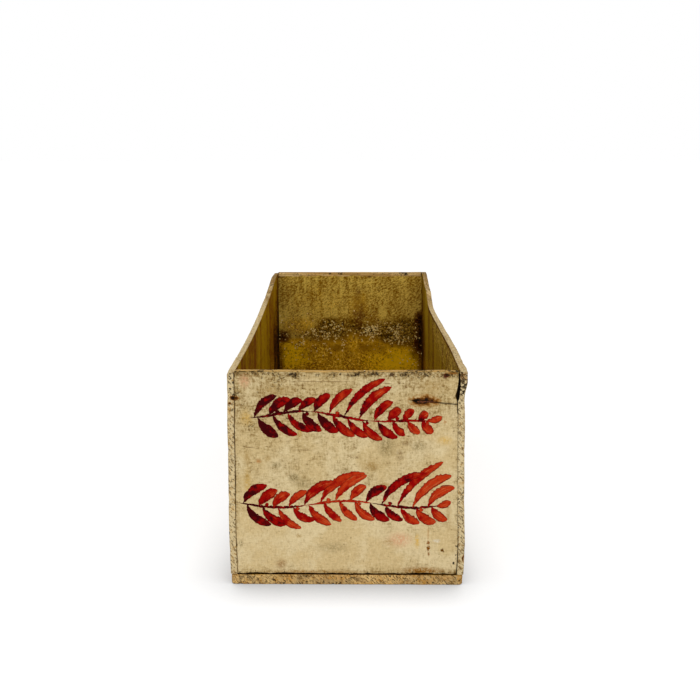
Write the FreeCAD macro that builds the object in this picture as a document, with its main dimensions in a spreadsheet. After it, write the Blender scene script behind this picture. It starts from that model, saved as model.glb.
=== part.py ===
"""Open-topped wooden pigment bin, nailed together from six boards.

The bin is long, narrow and open at the top. The front board is lower than the back board, and
the top edge of each side board rises towards the back. The front and back boards stand between
the side boards, which are nailed into their ends. Two lengthwise planks close the bottom and are
nailed up into the four walls. Sizes are in millimetres. Seen from the front, X points right, Y
points back and Z points up, and the origin is under the middle of the bottom.
"""
import FreeCAD, Part
import math
import os
import re

import Sketcher

SIZES = {
    # The box and its boards; wall heights are measured from the top of the base
    "box_width": 202.0,
    "box_length": 490.0,
    "side_thickness": 6.0,
    "end_thickness": 8.0,
    "base_thickness": 9.3,
    "front_wall_height": 178.6,
    "back_wall_height": 201.0,
    # The top line of each side board: its foot dips below the front wall, its crest stands above
    # or, where negative, below the back wall, and ramp and land are measured from the back end
    "left_foot_dip": 0.4,
    "left_ramp_run": 330.0,
    "left_sweep_run": 174.5,
    "left_crest_rise": -0.6,
    "left_crest_land": 40.0,
    "right_foot_dip": 2.9,
    "right_ramp_run": 145.0,
    "right_sweep_run": 39.0,
    "right_crest_rise": 0.8,
    "right_crest_land": 8.0,
    # Worn corners and edges
    "corner_ease": 2.0,
    "front_arris": 1.5,
    "back_arris": 3.0,
    "base_corner": 2.0,
    # The two planks of the base
    "base_setback": 1.4,
    "narrow_plank_width": 36.5,
    "plank_seam": 0.4,
    # Wire nails
    "shank_radius": 0.9,
    "head_radius": 2.0,
    "head_thickness": 0.8,
    "tip_length": 3.0,
    "wall_nail_length": 40.0,
    "wall_nail_count": 4,
    "wall_nail_margin": 22.0,
    "base_nail_length": 28.0,
    "side_row_count": 6,
    "side_row_margin": 45.0,
    "side_row_inset": 4.0,
    "end_row_count": 2,
    "end_row_margin": 50.0,
    # The nail that runs out towards the front face, and the one just under the front's top edge
    "stray_nail_drop": 3.0,
    "stray_nail_cover": 0.3,
    "edge_nail_depth": 4.0,
}

# Expressions that more than one piece uses
INNER_WIDTH = "(box_width - 2 * side_thickness)"
BASE_WIDTH = "(box_width - 2 * base_setback)"
LEFT_FACE = "(-box_width / 2)"
RIGHT_FACE = "(box_width / 2)"
FRONT_FACE = "(-box_length / 2)"
BACK_FACE = "(box_length / 2)"
FRONT_MIDDLE = "(-box_length / 2 + end_thickness / 2)"
BACK_MIDDLE = "(box_length / 2 - end_thickness / 2)"
FRONT_NAIL_RUN = "(front_wall_height - 2 * wall_nail_margin)"
BACK_NAIL_RUN = "(back_wall_height - 2 * wall_nail_margin)"

# Numbers of a sketch's axes and root point, and of the ends of an edge
HORIZONTAL_AXIS_INDEX, VERTICAL_AXIS_INDEX = -1, -2
ROOT_POINT = (-1, 1)
START_INDEX, END_INDEX = 1, 2

doc = FreeCAD.newDocument("pigment_bin")
sheet = doc.addObject("Spreadsheet::Sheet", "Sizes")


def fill_sheet():
    """Write each size to the sheet as its name, its number and an alias."""
    for row, (alias, number) in enumerate(SIZES.items(), start=1):
        sheet.set(f"A{row}", alias)
        sheet.set(f"B{row}", str(number))
        sheet.setAlias(f"B{row}", alias)
    doc.recompute()


def sized(text):
    """Expression in which each bare size name reads the sheet."""
    return re.sub(r"[a-z_]+", lambda word: f"Sizes.{word[0]}" if word[0] in SIZES else word[0], text)


def value(text):
    """Number that an expression of sizes has now."""
    return float(sheet.evalExpression(sized(text)))


# Sketches and features


def new_body(name):
    """Empty body whose label is its name."""
    body = doc.addObject("PartDesign::Body", name)
    body.Label = name
    return body


def new_sketch(body, name, plane):
    """Sketch on one of the body's own origin planes."""
    sketch = body.newObject("Sketcher::SketchObject", name)
    support = next(item for item in body.Origin.OriginFeatures if item.Role == plane)
    sketch.AttachmentSupport = (support, [""])
    sketch.MapMode = "FlatFace"
    return sketch


def add_dimension(sketch, kind, elements, text):
    """Constraint whose value is an expression."""
    index = sketch.addConstraint(Sketcher.Constraint(kind, *elements, value(text)))
    sketch.setExpression(f"Constraints[{index}]", sized(text))


def hold(sketch, edge, end, across, up):
    """Hold one end of an edge at a pair of expressions, measured from the root point."""
    directions = (("DistanceX", across, VERTICAL_AXIS_INDEX), ("DistanceY", up, HORIZONTAL_AXIS_INDEX))
    for kind, text, axis in directions:
        if text == "0":
            sketch.addConstraint(Sketcher.Constraint("PointOnObject", edge, end, axis))
        else:
            add_dimension(sketch, kind, (*ROOT_POINT, edge, end), text)


def draw_polygon(sketch, corners):
    """Closed outline of straight edges, each corner held at its own two expressions."""
    points = [FreeCAD.Vector(value(across), value(up), 0) for across, up in corners]
    following = [*range(1, len(points)), 0]
    for start, after in zip(points, following):
        sketch.addGeometry(Part.LineSegment(start, points[after]), False)
    for edge, after in enumerate(following):
        sketch.addConstraint(Sketcher.Constraint("Coincident", edge, END_INDEX, after, START_INDEX))
    for edge, (across, up) in enumerate(corners):
        hold(sketch, edge, START_INDEX, across, up)


def add_pad(body, sketch, name, length):
    """Pad of a sketch, as long as an expression says."""
    pad = body.newObject("PartDesign::Pad", name)
    pad.Profile = sketch
    pad.setExpression("Length", sized(length))
    return pad


def round_edge(body, base, name, radius, point):
    """Fillet along the edge of the body that passes nearest to a point."""
    doc.recompute()
    vertex = Part.Vertex(point)
    distances = [edge.distToShape(vertex)[0] for edge in base.Shape.Edges]
    nearest = distances.index(min(distances)) + 1
    fillet = body.newObject("PartDesign::Fillet", name)
    fillet.Base = (base, [f"Edge{nearest}"])
    fillet.setExpression("Radius", sized(radius))
    return fillet


def place(item, across, along, up):
    """Bind the item's position to three expressions."""
    for axis, text in (("x", across), ("y", along), ("z", up)):
        item.setExpression(f"Placement.Base.{axis}", sized(text))


# Boards before they are nailed


def footprint_board(name, left, right, depth, height):
    """Board drawn as a rectangle in plan and padded upwards, with its front on the body's X axis."""
    body = new_body(name)
    sketch = new_sketch(body, name + "_footprint", "XY_Plane")
    draw_polygon(sketch, [(left, "0"), (right, "0"), (right, depth), (left, depth)])
    return body, add_pad(body, sketch, name + "_pad", height)


def make_front_blank():
    """Front board, its top front arris worn round."""
    half = f"{INNER_WIDTH} / 2"
    body, board = footprint_board("front_blank", f"-{half}", half, "end_thickness", "front_wall_height")
    worn_edge = FreeCAD.Vector(0, 0, value("front_wall_height"))
    round_edge(body, board, "front_arris_wear", "front_arris", worn_edge)
    place(body, "0", FRONT_FACE, "base_thickness")
    return body


def make_back_blank():
    """Back board, its top inner arris worn round by the scoop."""
    half = f"{INNER_WIDTH} / 2"
    body, board = footprint_board("back_blank", f"-{half}", half, "end_thickness", "back_wall_height")
    worn_edge = FreeCAD.Vector(0, 0, value("back_wall_height"))
    round_edge(body, board, "back_arris_wear", "back_arris", worn_edge)
    place(body, "0", f"{BACK_FACE} - end_thickness", "base_thickness")
    return body


def make_wide_plank_blank():
    """Wider plank of the base, from the left edge to the seam, its front left corner worn round."""
    width = f"({BASE_WIDTH} - narrow_plank_width - plank_seam)"
    body, plank = footprint_board("wide_plank_blank", "0", width, "box_length", "base_thickness")
    worn_corner = FreeCAD.Vector(0, 0, value("base_thickness") / 2)
    round_edge(body, plank, "wide_plank_corner", "base_corner", worn_corner)
    place(body, f"-{BASE_WIDTH} / 2", FRONT_FACE, "0")
    return body


def make_narrow_plank_blank():
    """Narrower plank of the base, from the seam to the right edge, its front right corner worn."""
    name, width = "narrow_plank_blank", "narrow_plank_width"
    body, plank = footprint_board(name, f"-{width}", "0", "box_length", "base_thickness")
    worn_corner = FreeCAD.Vector(0, 0, value("base_thickness") / 2)
    round_edge(body, plank, "narrow_plank_corner", "base_corner", worn_corner)
    place(body, f"{BASE_WIDTH} / 2", FRONT_FACE, "0")
    return body


def draw_side_outline(sketch, hand):
    """Outline of a side board, front at the left, base at the bottom.

    The top edge leaves the eased front corner, runs to the foot, turns upwards there on an arc,
    climbs straight to the crest and is level from the crest to the back end.
    """
    foot = f"(box_length - {hand}_ramp_run)"
    foot_height = f"(front_wall_height - {hand}_foot_dip)"
    crest = f"(box_length - {hand}_crest_land)"
    crest_height = f"(back_wall_height + {hand}_crest_rise)"
    sweep_end = f"(box_length - {hand}_ramp_run + {hand}_sweep_run)"

    # Starting places near the solved ones, so that the arcs close on the right side
    length, top, ease = value("box_length"), value("front_wall_height"), value("corner_ease")
    foot_point = FreeCAD.Vector(value(foot), value(foot_height), 0)
    crest_point = FreeCAD.Vector(value(crest), value(crest_height), 0)
    half_sweep = (value(sweep_end) - foot_point.x) / 2
    slope = (crest_point.y - foot_point.y) / (crest_point.x - foot_point.x - half_sweep)
    sweep_middle = foot_point + FreeCAD.Vector(half_sweep, half_sweep * slope / 4, 0)
    ramp_start = foot_point + FreeCAD.Vector(2 * half_sweep, half_sweep * slope, 0)
    ease_end = FreeCAD.Vector(ease, top, 0)
    ease_middle = FreeCAD.Vector(ease * (1 - math.sqrt(0.5)), top - ease * (1 - math.sqrt(0.5)), 0)
    ease_start = FreeCAD.Vector(0, top - ease, 0)
    front_bottom = FreeCAD.Vector(0, 0, 0)
    back_bottom = FreeCAD.Vector(length, 0, 0)
    back_top = FreeCAD.Vector(length, crest_point.y, 0)

    sketch.addGeometry([
        Part.LineSegment(front_bottom, back_bottom),
        Part.LineSegment(back_bottom, back_top),
        Part.LineSegment(back_top, crest_point),
        Part.LineSegment(crest_point, ramp_start),
        Part.Arc(foot_point, sweep_middle, ramp_start),
        Part.LineSegment(foot_point, ease_end),
        Part.Arc(ease_end, ease_middle, ease_start),
        Part.LineSegment(ease_start, front_bottom),
    ], False)
    bottom, back, land, ramp, sweep, level, corner, front = range(8)
    joints = [
        ("Coincident", bottom, END_INDEX, back, START_INDEX),
        ("Coincident", back, END_INDEX, land, START_INDEX),
        ("Coincident", land, END_INDEX, ramp, START_INDEX),
        ("Tangent", ramp, END_INDEX, sweep, END_INDEX),
        ("Tangent", sweep, START_INDEX, level, START_INDEX),
        ("Tangent", level, END_INDEX, corner, START_INDEX),
        ("Tangent", corner, END_INDEX, front, START_INDEX),
        ("Coincident", front, END_INDEX, bottom, START_INDEX),
    ]
    for joint in joints:
        sketch.addConstraint(Sketcher.Constraint(*joint))
    sketch.addConstraint(Sketcher.Constraint("PointOnObject", front, START_INDEX, VERTICAL_AXIS_INDEX))
    hold(sketch, bottom, START_INDEX, "0", "0")
    hold(sketch, back, START_INDEX, "box_length", "0")
    hold(sketch, land, START_INDEX, "box_length", crest_height)
    hold(sketch, ramp, START_INDEX, crest, crest_height)
    hold(sketch, level, START_INDEX, foot, foot_height)
    add_dimension(sketch, "DistanceX", (*ROOT_POINT, sweep, END_INDEX), sweep_end)
    add_dimension(sketch, "Radius", (corner,), "corner_ease")
    add_dimension(sketch, "DistanceY", (*ROOT_POINT, corner, START_INDEX), "front_wall_height")


def make_side_blank(hand, outer_face):
    """Side board of one hand, padded to the right from its left face."""
    body = new_body(f"{hand}_blank")
    sketch = new_sketch(body, f"{hand}_outline", "YZ_Plane")
    draw_side_outline(sketch, hand)
    add_pad(body, sketch, f"{hand}_pad", "side_thickness")
    place(body, outer_face, FRONT_FACE, "base_thickness")
    return body


# Nails


def draw_nail(body, name, plane, axis, direction, length):
    """One wire nail with its tip at the body's origin, turned about a sketch axis.

    The nail points along the plane's H or V axis, forwards for a direction of 1 and backwards
    for -1, so its head is a nail's length the other way.
    """
    sketch = new_sketch(body, name + "_profile", plane)
    sign = "-" if direction > 0 else ""
    profile = [
        ("0", "0"),
        (f"{sign}tip_length", "shank_radius"),
        (f"{sign}({length} - head_thickness)", "shank_radius"),
        (f"{sign}({length} - head_thickness)", "head_radius"),
        (f"{sign}{length}", "head_radius"),
        (f"{sign}{length}", "0"),
    ]
    if axis == "V":
        profile = [(out, down_the_nail) for down_the_nail, out in profile]
    draw_polygon(sketch, profile)
    nail = body.newObject("PartDesign::Revolution", name + "_turned")
    nail.Profile = sketch
    nail.ReferenceAxis = (sketch, [f"{axis}_Axis"])
    nail.Angle = 360
    return sketch, nail


def nail_row(name, plane, axis, direction, length, run, count):
    """Row of equal nails in one body, spread evenly over a run along the sketch's other axis."""
    body = new_body(name)
    sketch, nail = draw_nail(body, name, plane, axis, direction, length)
    row = body.newObject("PartDesign::LinearPattern", name + "_row")
    row.Originals = [nail]
    row.Direction = (sketch, ["V_Axis" if axis == "H" else "H_Axis"])
    row.setExpression("Length", sized(run))
    row.setExpression("Occurrences", sized(count))
    body.Tip = row
    return body


def make_wall_nails(name, direction, along, run, count):
    """Nails driven through a side board into the end of the front or back board."""
    row = nail_row(name, "XZ_Plane", "H", direction, "wall_nail_length", run, count)
    tip = f"{LEFT_FACE} + wall_nail_length" if direction > 0 else f"{RIGHT_FACE} - wall_nail_length"
    place(row, tip, along, "base_thickness + wall_nail_margin")
    return row


def make_top_edge_nail():
    """Nail driven from the right into the front board just under its top edge."""
    body = new_body("top_edge_nail")
    draw_nail(body, "top_edge_nail", "XZ_Plane", "H", -1, "wall_nail_length")
    up = "base_thickness + front_wall_height - edge_nail_depth"
    place(body, f"{RIGHT_FACE} - wall_nail_length", FRONT_MIDDLE, up)
    return body


def make_stray_nail():
    """Top nail of the front right row, driven askew, so that its tip runs out to the front face."""
    body = new_body("stray_nail")
    draw_nail(body, "stray_nail", "XY_Plane", "H", -1, "wall_nail_length")
    tip_depth = "(shank_radius + stray_nail_cover)"
    skew = f"asin((end_thickness / 2 - {tip_depth}) / wall_nail_length)"
    up = "base_thickness + front_wall_height - wall_nail_margin - stray_nail_drop"
    place(body, f"{RIGHT_FACE} - wall_nail_length * cos({skew})", f"{FRONT_FACE} + {tip_depth}", up)
    body.Placement.Rotation = FreeCAD.Rotation(FreeCAD.Vector(0, 0, 1), 1)
    body.setExpression("Placement.Rotation.Angle", sized(skew))
    return body


def make_base_side_nails(name, across):
    """Nails driven up through the base into a side board."""
    run = "(box_length - 2 * side_row_margin)"
    row = nail_row(name, "YZ_Plane", "V", 1, "base_nail_length", run, "side_row_count")
    place(row, across, f"{FRONT_FACE} + side_row_margin", "base_nail_length")
    return row


def make_base_end_nails(name, along):
    """Nails driven up through the base into the front or back board."""
    run = "(box_width - 2 * end_row_margin)"
    row = nail_row(name, "XZ_Plane", "V", 1, "base_nail_length", run, "end_row_count")
    place(row, f"{LEFT_FACE} + end_row_margin", along, "base_nail_length")
    return row


# Assembly and output


def drive_nails(name, blank, nails):
    """Finished board: the blank with holes exactly where its nails were driven."""
    bundle = doc.addObject("Part::Compound", name + "_driven_nails")
    bundle.Links = nails
    board = doc.addObject("Part::Cut", name)
    board.Label = name
    board.Base = blank
    board.Tool = bundle
    return board


def make_nails():
    """All nails of the box, by name."""
    right_front_run = f"{FRONT_NAIL_RUN} * (wall_nail_count - 2) / (wall_nail_count - 1)"
    rows = [
        make_wall_nails("front_left_nails", 1, FRONT_MIDDLE, FRONT_NAIL_RUN, "wall_nail_count"),
        make_wall_nails("front_right_nails", -1, FRONT_MIDDLE, right_front_run, "wall_nail_count - 1"),
        make_wall_nails("back_left_nails", 1, BACK_MIDDLE, BACK_NAIL_RUN, "wall_nail_count"),
        make_wall_nails("back_right_nails", -1, BACK_MIDDLE, BACK_NAIL_RUN, "wall_nail_count"),
        make_stray_nail(),
        make_top_edge_nail(),
        make_base_side_nails("base_left_nails", f"{LEFT_FACE} + side_row_inset"),
        make_base_side_nails("base_right_nails", f"{RIGHT_FACE} - side_row_inset"),
        make_base_end_nails("base_front_nails", FRONT_MIDDLE),
        make_base_end_nails("base_back_nails", BACK_MIDDLE),
    ]
    return {row.Label: row for row in rows}


def make_boards(nails):
    """All boards of the box, each cut by the nails that pass through it."""
    driven = {
        "front_board": (make_front_blank(), (
            "front_left_nails", "front_right_nails", "stray_nail", "top_edge_nail", "base_front_nails",
        )),
        "back_board": (make_back_blank(), (
            "back_left_nails", "back_right_nails", "base_back_nails",
        )),
        "left_side": (make_side_blank("left", LEFT_FACE), (
            "front_left_nails", "back_left_nails", "base_left_nails",
        )),
        "right_side": (make_side_blank("right", f"{RIGHT_FACE} - side_thickness"), (
            "front_right_nails", "stray_nail", "top_edge_nail", "back_right_nails", "base_right_nails",
        )),
        "wide_base_plank": (make_wide_plank_blank(), (
            "base_left_nails", "base_front_nails", "base_back_nails",
        )),
        "narrow_base_plank": (make_narrow_plank_blank(), (
            "base_right_nails", "base_front_nails", "base_back_nails",
        )),
    }
    return {
        name: drive_nails(name, blank, [nails[row] for row in rows])
        for name, (blank, rows) in driven.items()
    }


def check(pieces):
    """Stop on a failed feature, an empty or invalid shape or a board that lost no wood to its nails."""
    for item in doc.Objects:
        failed = {"Invalid", "Error"} & set(item.State)
        if failed:
            raise RuntimeError(f"{item.Label} is {failed}")
    for name, piece in pieces.items():
        if piece.Shape.isNull() or not piece.Shape.isValid():
            raise RuntimeError(f"{name} has no valid shape")
        if piece.TypeId == "Part::Cut" and piece.Shape.Volume >= piece.Base.Shape.Volume:
            raise RuntimeError(f"no nail passes through {name}")


def write(pieces):
    """Write each piece to its own file and print its size."""
    os.makedirs("parts", exist_ok=True)
    for name, piece in pieces.items():
        piece.Shape.exportStep(f"parts/{name}.step")
        box = piece.Shape.BoundBox
        extent = f"{box.XLength:.1f} x {box.YLength:.1f} x {box.ZLength:.1f}"
        print(f"{name}: {len(piece.Shape.Solids)} solids, {extent}")


def main():
    """Build, check and write the box."""
    fill_sheet()
    nails = make_nails()
    boards = make_boards(nails)
    doc.recompute()
    pieces = {**boards, **nails}
    check(pieces)
    write(pieces)


main()
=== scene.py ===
"""Looks of an open-topped, nailed pigment bin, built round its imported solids.

Everything is in the frame of the solids: X across the bin, Y from its front to its back, Z up.
Shapes are worked out in millimetres and written to their meshes in metres.
"""

import functools
import itertools
import logging
import math
from dataclasses import dataclass, field, replace
from enum import Enum
from typing import Any, Sequence

import bpy
import numpy as np
from mathutils import Matrix, Vector
from mathutils.bvhtree import BVHTree


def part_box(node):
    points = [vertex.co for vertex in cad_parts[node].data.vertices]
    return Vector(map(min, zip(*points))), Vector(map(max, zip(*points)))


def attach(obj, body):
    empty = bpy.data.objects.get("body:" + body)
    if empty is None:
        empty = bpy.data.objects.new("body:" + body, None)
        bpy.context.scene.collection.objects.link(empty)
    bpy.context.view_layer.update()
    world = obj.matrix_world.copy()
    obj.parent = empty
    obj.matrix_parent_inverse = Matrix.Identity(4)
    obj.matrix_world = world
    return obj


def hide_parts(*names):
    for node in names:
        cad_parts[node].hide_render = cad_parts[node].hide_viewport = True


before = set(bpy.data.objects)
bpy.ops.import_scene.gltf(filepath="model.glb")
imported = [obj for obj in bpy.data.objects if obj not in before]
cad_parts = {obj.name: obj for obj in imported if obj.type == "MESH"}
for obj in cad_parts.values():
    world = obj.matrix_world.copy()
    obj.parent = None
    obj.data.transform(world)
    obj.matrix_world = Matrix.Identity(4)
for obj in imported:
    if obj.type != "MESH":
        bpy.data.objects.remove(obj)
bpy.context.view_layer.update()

LOG = logging.getLogger("pigment_bin")
MM = 0.001
BODY = "root"
HASH_PRIMES = np.array([73856093, 19349663, 83492791])
HASH_STEP = 1274126177
HASH_WORD = 0xFFFFFFFF

Array = np.ndarray
Rgb = tuple[int, int, int]
Triple = tuple[float, float, float]
Knots = Sequence[tuple[float, float]]
Pieces = dict[str, bpy.types.Object]


# Numbers and smooth lines

def hashed(cells: Array, seed: int) -> Array:
    """Gives each whole-number cell a repeatable value.

    Args:
        cells: N rows of three whole numbers.
        seed: Number that picks one of many patterns.

    Returns:
        N values from 0 to 1.
    """
    mixed = (cells.astype(np.int64) * HASH_PRIMES).sum(axis=1) + seed * HASH_STEP
    for shift in (15, 13):
        mixed &= HASH_WORD
        mixed = (mixed ^ (mixed >> shift)) * HASH_STEP
    mixed &= HASH_WORD
    return (mixed ^ (mixed >> 16)) / HASH_WORD


def rough_noise(points: Array, size: float | Sequence[float], seed: int, layers: int = 4) -> Array:
    """Lumps with smaller lumps on them.

    Args:
        points: N points in millimetres.
        size: Size of the largest lumps in millimetres, one for all axes or one for each.
        seed: Number that picks one of many patterns.
        layers: How many sizes of lump, each half of the one before.

    Returns:
        N values from -1 to 1, most of them between -0.6 and 0.6 when there are several layers.
    """
    total = np.zeros(len(points))
    for layer in range(layers):
        share = 0.5 ** layer
        place = points / (np.asarray(size, float) * share)
        cell = np.floor(place)
        ease_in = (place - cell) ** 2 * (3 - 2 * (place - cell))
        lumps = np.zeros(len(points))
        for corner in itertools.product((0, 1), repeat=3):
            near = np.prod(np.where(corner, ease_in, 1 - ease_in), axis=1)
            lumps += near * hashed(cell + corner, seed + 31 * layer)
        total += share * (2 * lumps - 1)
    return total / (2 - 0.5 ** (layers - 1))


def ease(value: Array | float, low: Any, high: Any) -> Array:
    """Smooth step from 0 at low to 1 at high, which may be the lower of the two."""
    part = np.clip((np.asarray(value, float) - low) / (high - low), 0, 1)
    return part * part * (3 - 2 * part)


def curve_through(knots: Knots, at: Array) -> Array:
    """Smooth line through knots, held level past its ends.

    Args:
        knots: Pairs of a place and the height there, in rising order of place.
        at: Places to read.

    Returns:
        The height at each place.
    """
    x, y = np.array(knots, float).T
    slope = np.gradient(y, x)
    at = np.clip(at, x[0], x[-1])
    left = np.clip(np.searchsorted(x, at) - 1, 0, len(x) - 2)
    step = x[left + 1] - x[left]
    t = (at - x[left]) / step
    rise = (1 - t) ** 2 * (1 + 2 * t) * y[left] + t * t * (3 - 2 * t) * y[left + 1]
    return rise + step * (t * (1 - t) ** 2 * slope[left] - t * t * (1 - t) * slope[left + 1])


def strongest(*masks: Array) -> Array:
    """Largest value of several masks at each point."""
    return np.maximum.reduce(masks)


def linear(colour: Rgb) -> tuple[float, float, float, float]:
    """Scene-linear colour with alpha of an 8-bit sRGB one."""
    parts = [c / 255 for c in colour]
    return (*(c / 12.92 if c <= 0.04045 else ((c + 0.055) / 1.055) ** 2.4 for c in parts), 1.0)


def box_mm(node: str) -> tuple[Array, Array]:
    """Lowest and highest corner of a solid, in millimetres."""
    low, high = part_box(node)
    return np.array(low) / MM, np.array(high) / MM


# Meshes

def grid_lines(low: float, high: float, step: float, bands: Sequence[Triple]) -> Array:
    """Places of the grid lines along one axis of a board.

    Args:
        low: First line.
        high: Last line.
        step: Distance between lines.
        bands: Stretches with closer lines, each with its start, its end and its step.

    Returns:
        The lines' places, with the first and last exactly at low and high.
    """
    places = [low]
    while places[-1] < high:
        near = [fine for start, end, fine in bands if start <= places[-1] <= end]
        places.append(places[-1] + min([step, *near]))
    lines = np.array(places)
    return low + (lines - low) * (high - low) / (lines[-1] - low)


def block_surface(lines: Sequence[Array]) -> tuple[Array, Array]:
    """Skin of a block cut into a grid.

    Args:
        lines: Places of the grid lines along X, Y and Z.

    Returns:
        The skin's points and its quads, which face outwards.
    """
    counts = [len(axis) for axis in lines]
    quads = []
    for axis in range(3):
        across, up = (axis + 1) % 3, (axis + 2) % 3
        first, second = np.meshgrid(np.arange(counts[across] - 1), np.arange(counts[up] - 1), indexing="ij")
        for end in (0, counts[axis] - 1):
            corners = []
            for right, above in ((0, 0), (1, 0), (1, 1), (0, 1)):
                index = [first, first, first]
                index[axis] = np.full(first.shape, end)
                index[across] = first + right
                index[up] = second + above
                corners.append(np.ravel_multi_index(index, counts).ravel())
            if end == 0:
                corners.reverse()
            quads.append(np.stack(corners, axis=1))
    used, quads = np.unique(np.concatenate(quads), return_inverse=True)
    cells = np.unravel_index(used, counts)
    return np.stack([lines[axis][cells[axis]] for axis in range(3)], axis=1), quads.reshape(-1, 4)


def make_piece(name: str, points: Array, faces: Sequence[Sequence[int]], masks: dict[str, Array],
               material: bpy.types.Material) -> bpy.types.Object:
    """New object at the origin with its place in its mesh.

    Args:
        name: The piece's name.
        points: Its points in millimetres.
        faces: Its faces as point numbers.
        masks: One value per point, for each mask that its material reads.
        material: Its finish.

    Returns:
        The object, in the scene.
    """
    mesh = bpy.data.meshes.new(name)
    mesh.from_pydata((points * MM).tolist(), [], faces)
    for mask, values in masks.items():
        mesh.attributes.new(mask, "FLOAT", "POINT").data.foreach_set("value", values.astype(np.float32))
    mesh.shade_smooth()
    mesh.materials.append(material)
    made = bpy.data.objects.new(name, mesh)
    bpy.context.collection.objects.link(made)
    return made


def settle(piece: bpy.types.Object, slot: str, *nodes: str) -> bpy.types.Object:
    """Puts a finished piece on the bin.

    Args:
        piece: The piece.
        slot: Its finish's slot, which is not used.
        nodes: The solids that it replaces, if any.

    Returns:
        The piece.
    """
    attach(piece, BODY)
    if nodes:
        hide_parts(*nodes)
    LOG.info("%s: %d faces", piece.name, len(piece.data.polygons))
    return piece


def grow(name: str, tree: bpy.types.NodeTree, feeds: dict[str, Any],
         mesh: bpy.types.Mesh | None = None) -> bpy.types.Object:
    """Piece that a geometry node tree makes, as a plain mesh.

    Args:
        name: The piece's name.
        tree: The geometry nodes.
        feeds: What goes into the tree's inputs, by name.
        mesh: Mesh that the tree starts from, if any.

    Returns:
        The object, in the scene.
    """
    made = bpy.data.objects.new(name, mesh or bpy.data.meshes.new(name))
    bpy.context.collection.objects.link(made)
    modifier = made.modifiers.new("nodes", "NODES")
    modifier.node_group = tree
    for item in tree.interface.items_tree:
        if item.in_out == "INPUT" and item.name in feeds:
            modifier[item.identifier] = feeds[item.name]
    plain = bpy.data.meshes.new_from_object(made.evaluated_get(bpy.context.evaluated_depsgraph_get()))
    made.modifiers.clear()
    made.data = plain
    plain.name = name
    return made


# Node trees

class Kind(Enum):
    """What a socket of a group carries."""

    NUMBER = "NodeSocketFloat"
    WHOLE = "NodeSocketInt"
    VECTOR = "NodeSocketVector"
    COLOUR = "NodeSocketColor"
    OBJECT = "NodeSocketObject"
    FINISH = "NodeSocketMaterial"
    SHAPE = "NodeSocketGeometry"


NUMBER, WHOLE, VECTOR, COLOUR, OBJECT, FINISH, SHAPE = Kind


@dataclass(frozen=True)
class Signal:
    """What comes out of a node. Sums of signals and plain values are written with operators."""

    sheet: "Sheet"
    socket: bpy.types.NodeSocket

    def sum(self, operation: str, other: Any = None, flipped: bool = False) -> "Signal":
        """Sum of this signal and another term.

        Args:
            operation: One of the Math node's, or of Vector Math's if this is a vector or a colour.
            other: The other term, if there is one.
            flipped: Whether the other term comes first.

        Returns:
            The result. A vector times a number is scaled.
        """
        terms = (other, self) if flipped else (self, other)
        feeds: dict[str | int, Any] = {i: term for i, term in enumerate(terms) if term is not None}
        if self.socket.type == "VALUE":
            return self.sheet.node("ShaderNodeMath", feeds, operation=operation)[0]
        number = other.socket.type == "VALUE" if isinstance(other, Signal) else isinstance(other, float)
        if number and operation == "MULTIPLY":
            return self.sheet.node("ShaderNodeVectorMath", {0: self, "Scale": other}, operation="SCALE")[0]
        made = self.sheet.node("ShaderNodeVectorMath", feeds, operation=operation)
        return made["Value" if operation in ("LENGTH", "DOT_PRODUCT") else 0]

    def __add__(self, other: Any) -> "Signal":
        """This plus another term."""
        return self.sum("ADD", other)

    def __sub__(self, other: Any) -> "Signal":
        """This less another term."""
        return self.sum("SUBTRACT", other)

    def __rsub__(self, other: Any) -> "Signal":
        """Another term less this."""
        return self.sum("SUBTRACT", other, True)

    def __mul__(self, other: Any) -> "Signal":
        """This times another term."""
        return self.sum("MULTIPLY", other)

    def __truediv__(self, other: Any) -> "Signal":
        """This over another term."""
        return self.sum("DIVIDE", other)

    def __rtruediv__(self, other: Any) -> "Signal":
        """Another term over this."""
        return self.sum("DIVIDE", other, True)

    __radd__ = __add__

    def clamped(self) -> "Signal":
        """This sum, kept between 0 and 1."""
        self.socket.node.use_clamp = True
        return self

    def ramp(self, low: Any, high: Any, start: float = 0.0, end: float = 1.0) -> "Signal":
        """Smooth change from start to end while this goes from low to high."""
        feeds = {0: self, 1: low, 2: high, 3: start, 4: end}
        return self.sheet.node("ShaderNodeMapRange", feeds, interpolation_type="SMOOTHSTEP", clamp=True)[0]

    def tint(self, amount: "Signal", colour: Any) -> "Signal":
        """This colour with an amount of another one laid over it."""
        return self.sheet.mix(amount, self, colour)


@dataclass(frozen=True)
class Placed:
    """A node on a sheet, whose outputs are read by name or number."""

    sheet: "Sheet"
    node: bpy.types.Node

    def __getitem__(self, key: str | int) -> Signal:
        """One output of the node."""
        return Signal(self.sheet, self.node.outputs[key])


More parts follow.
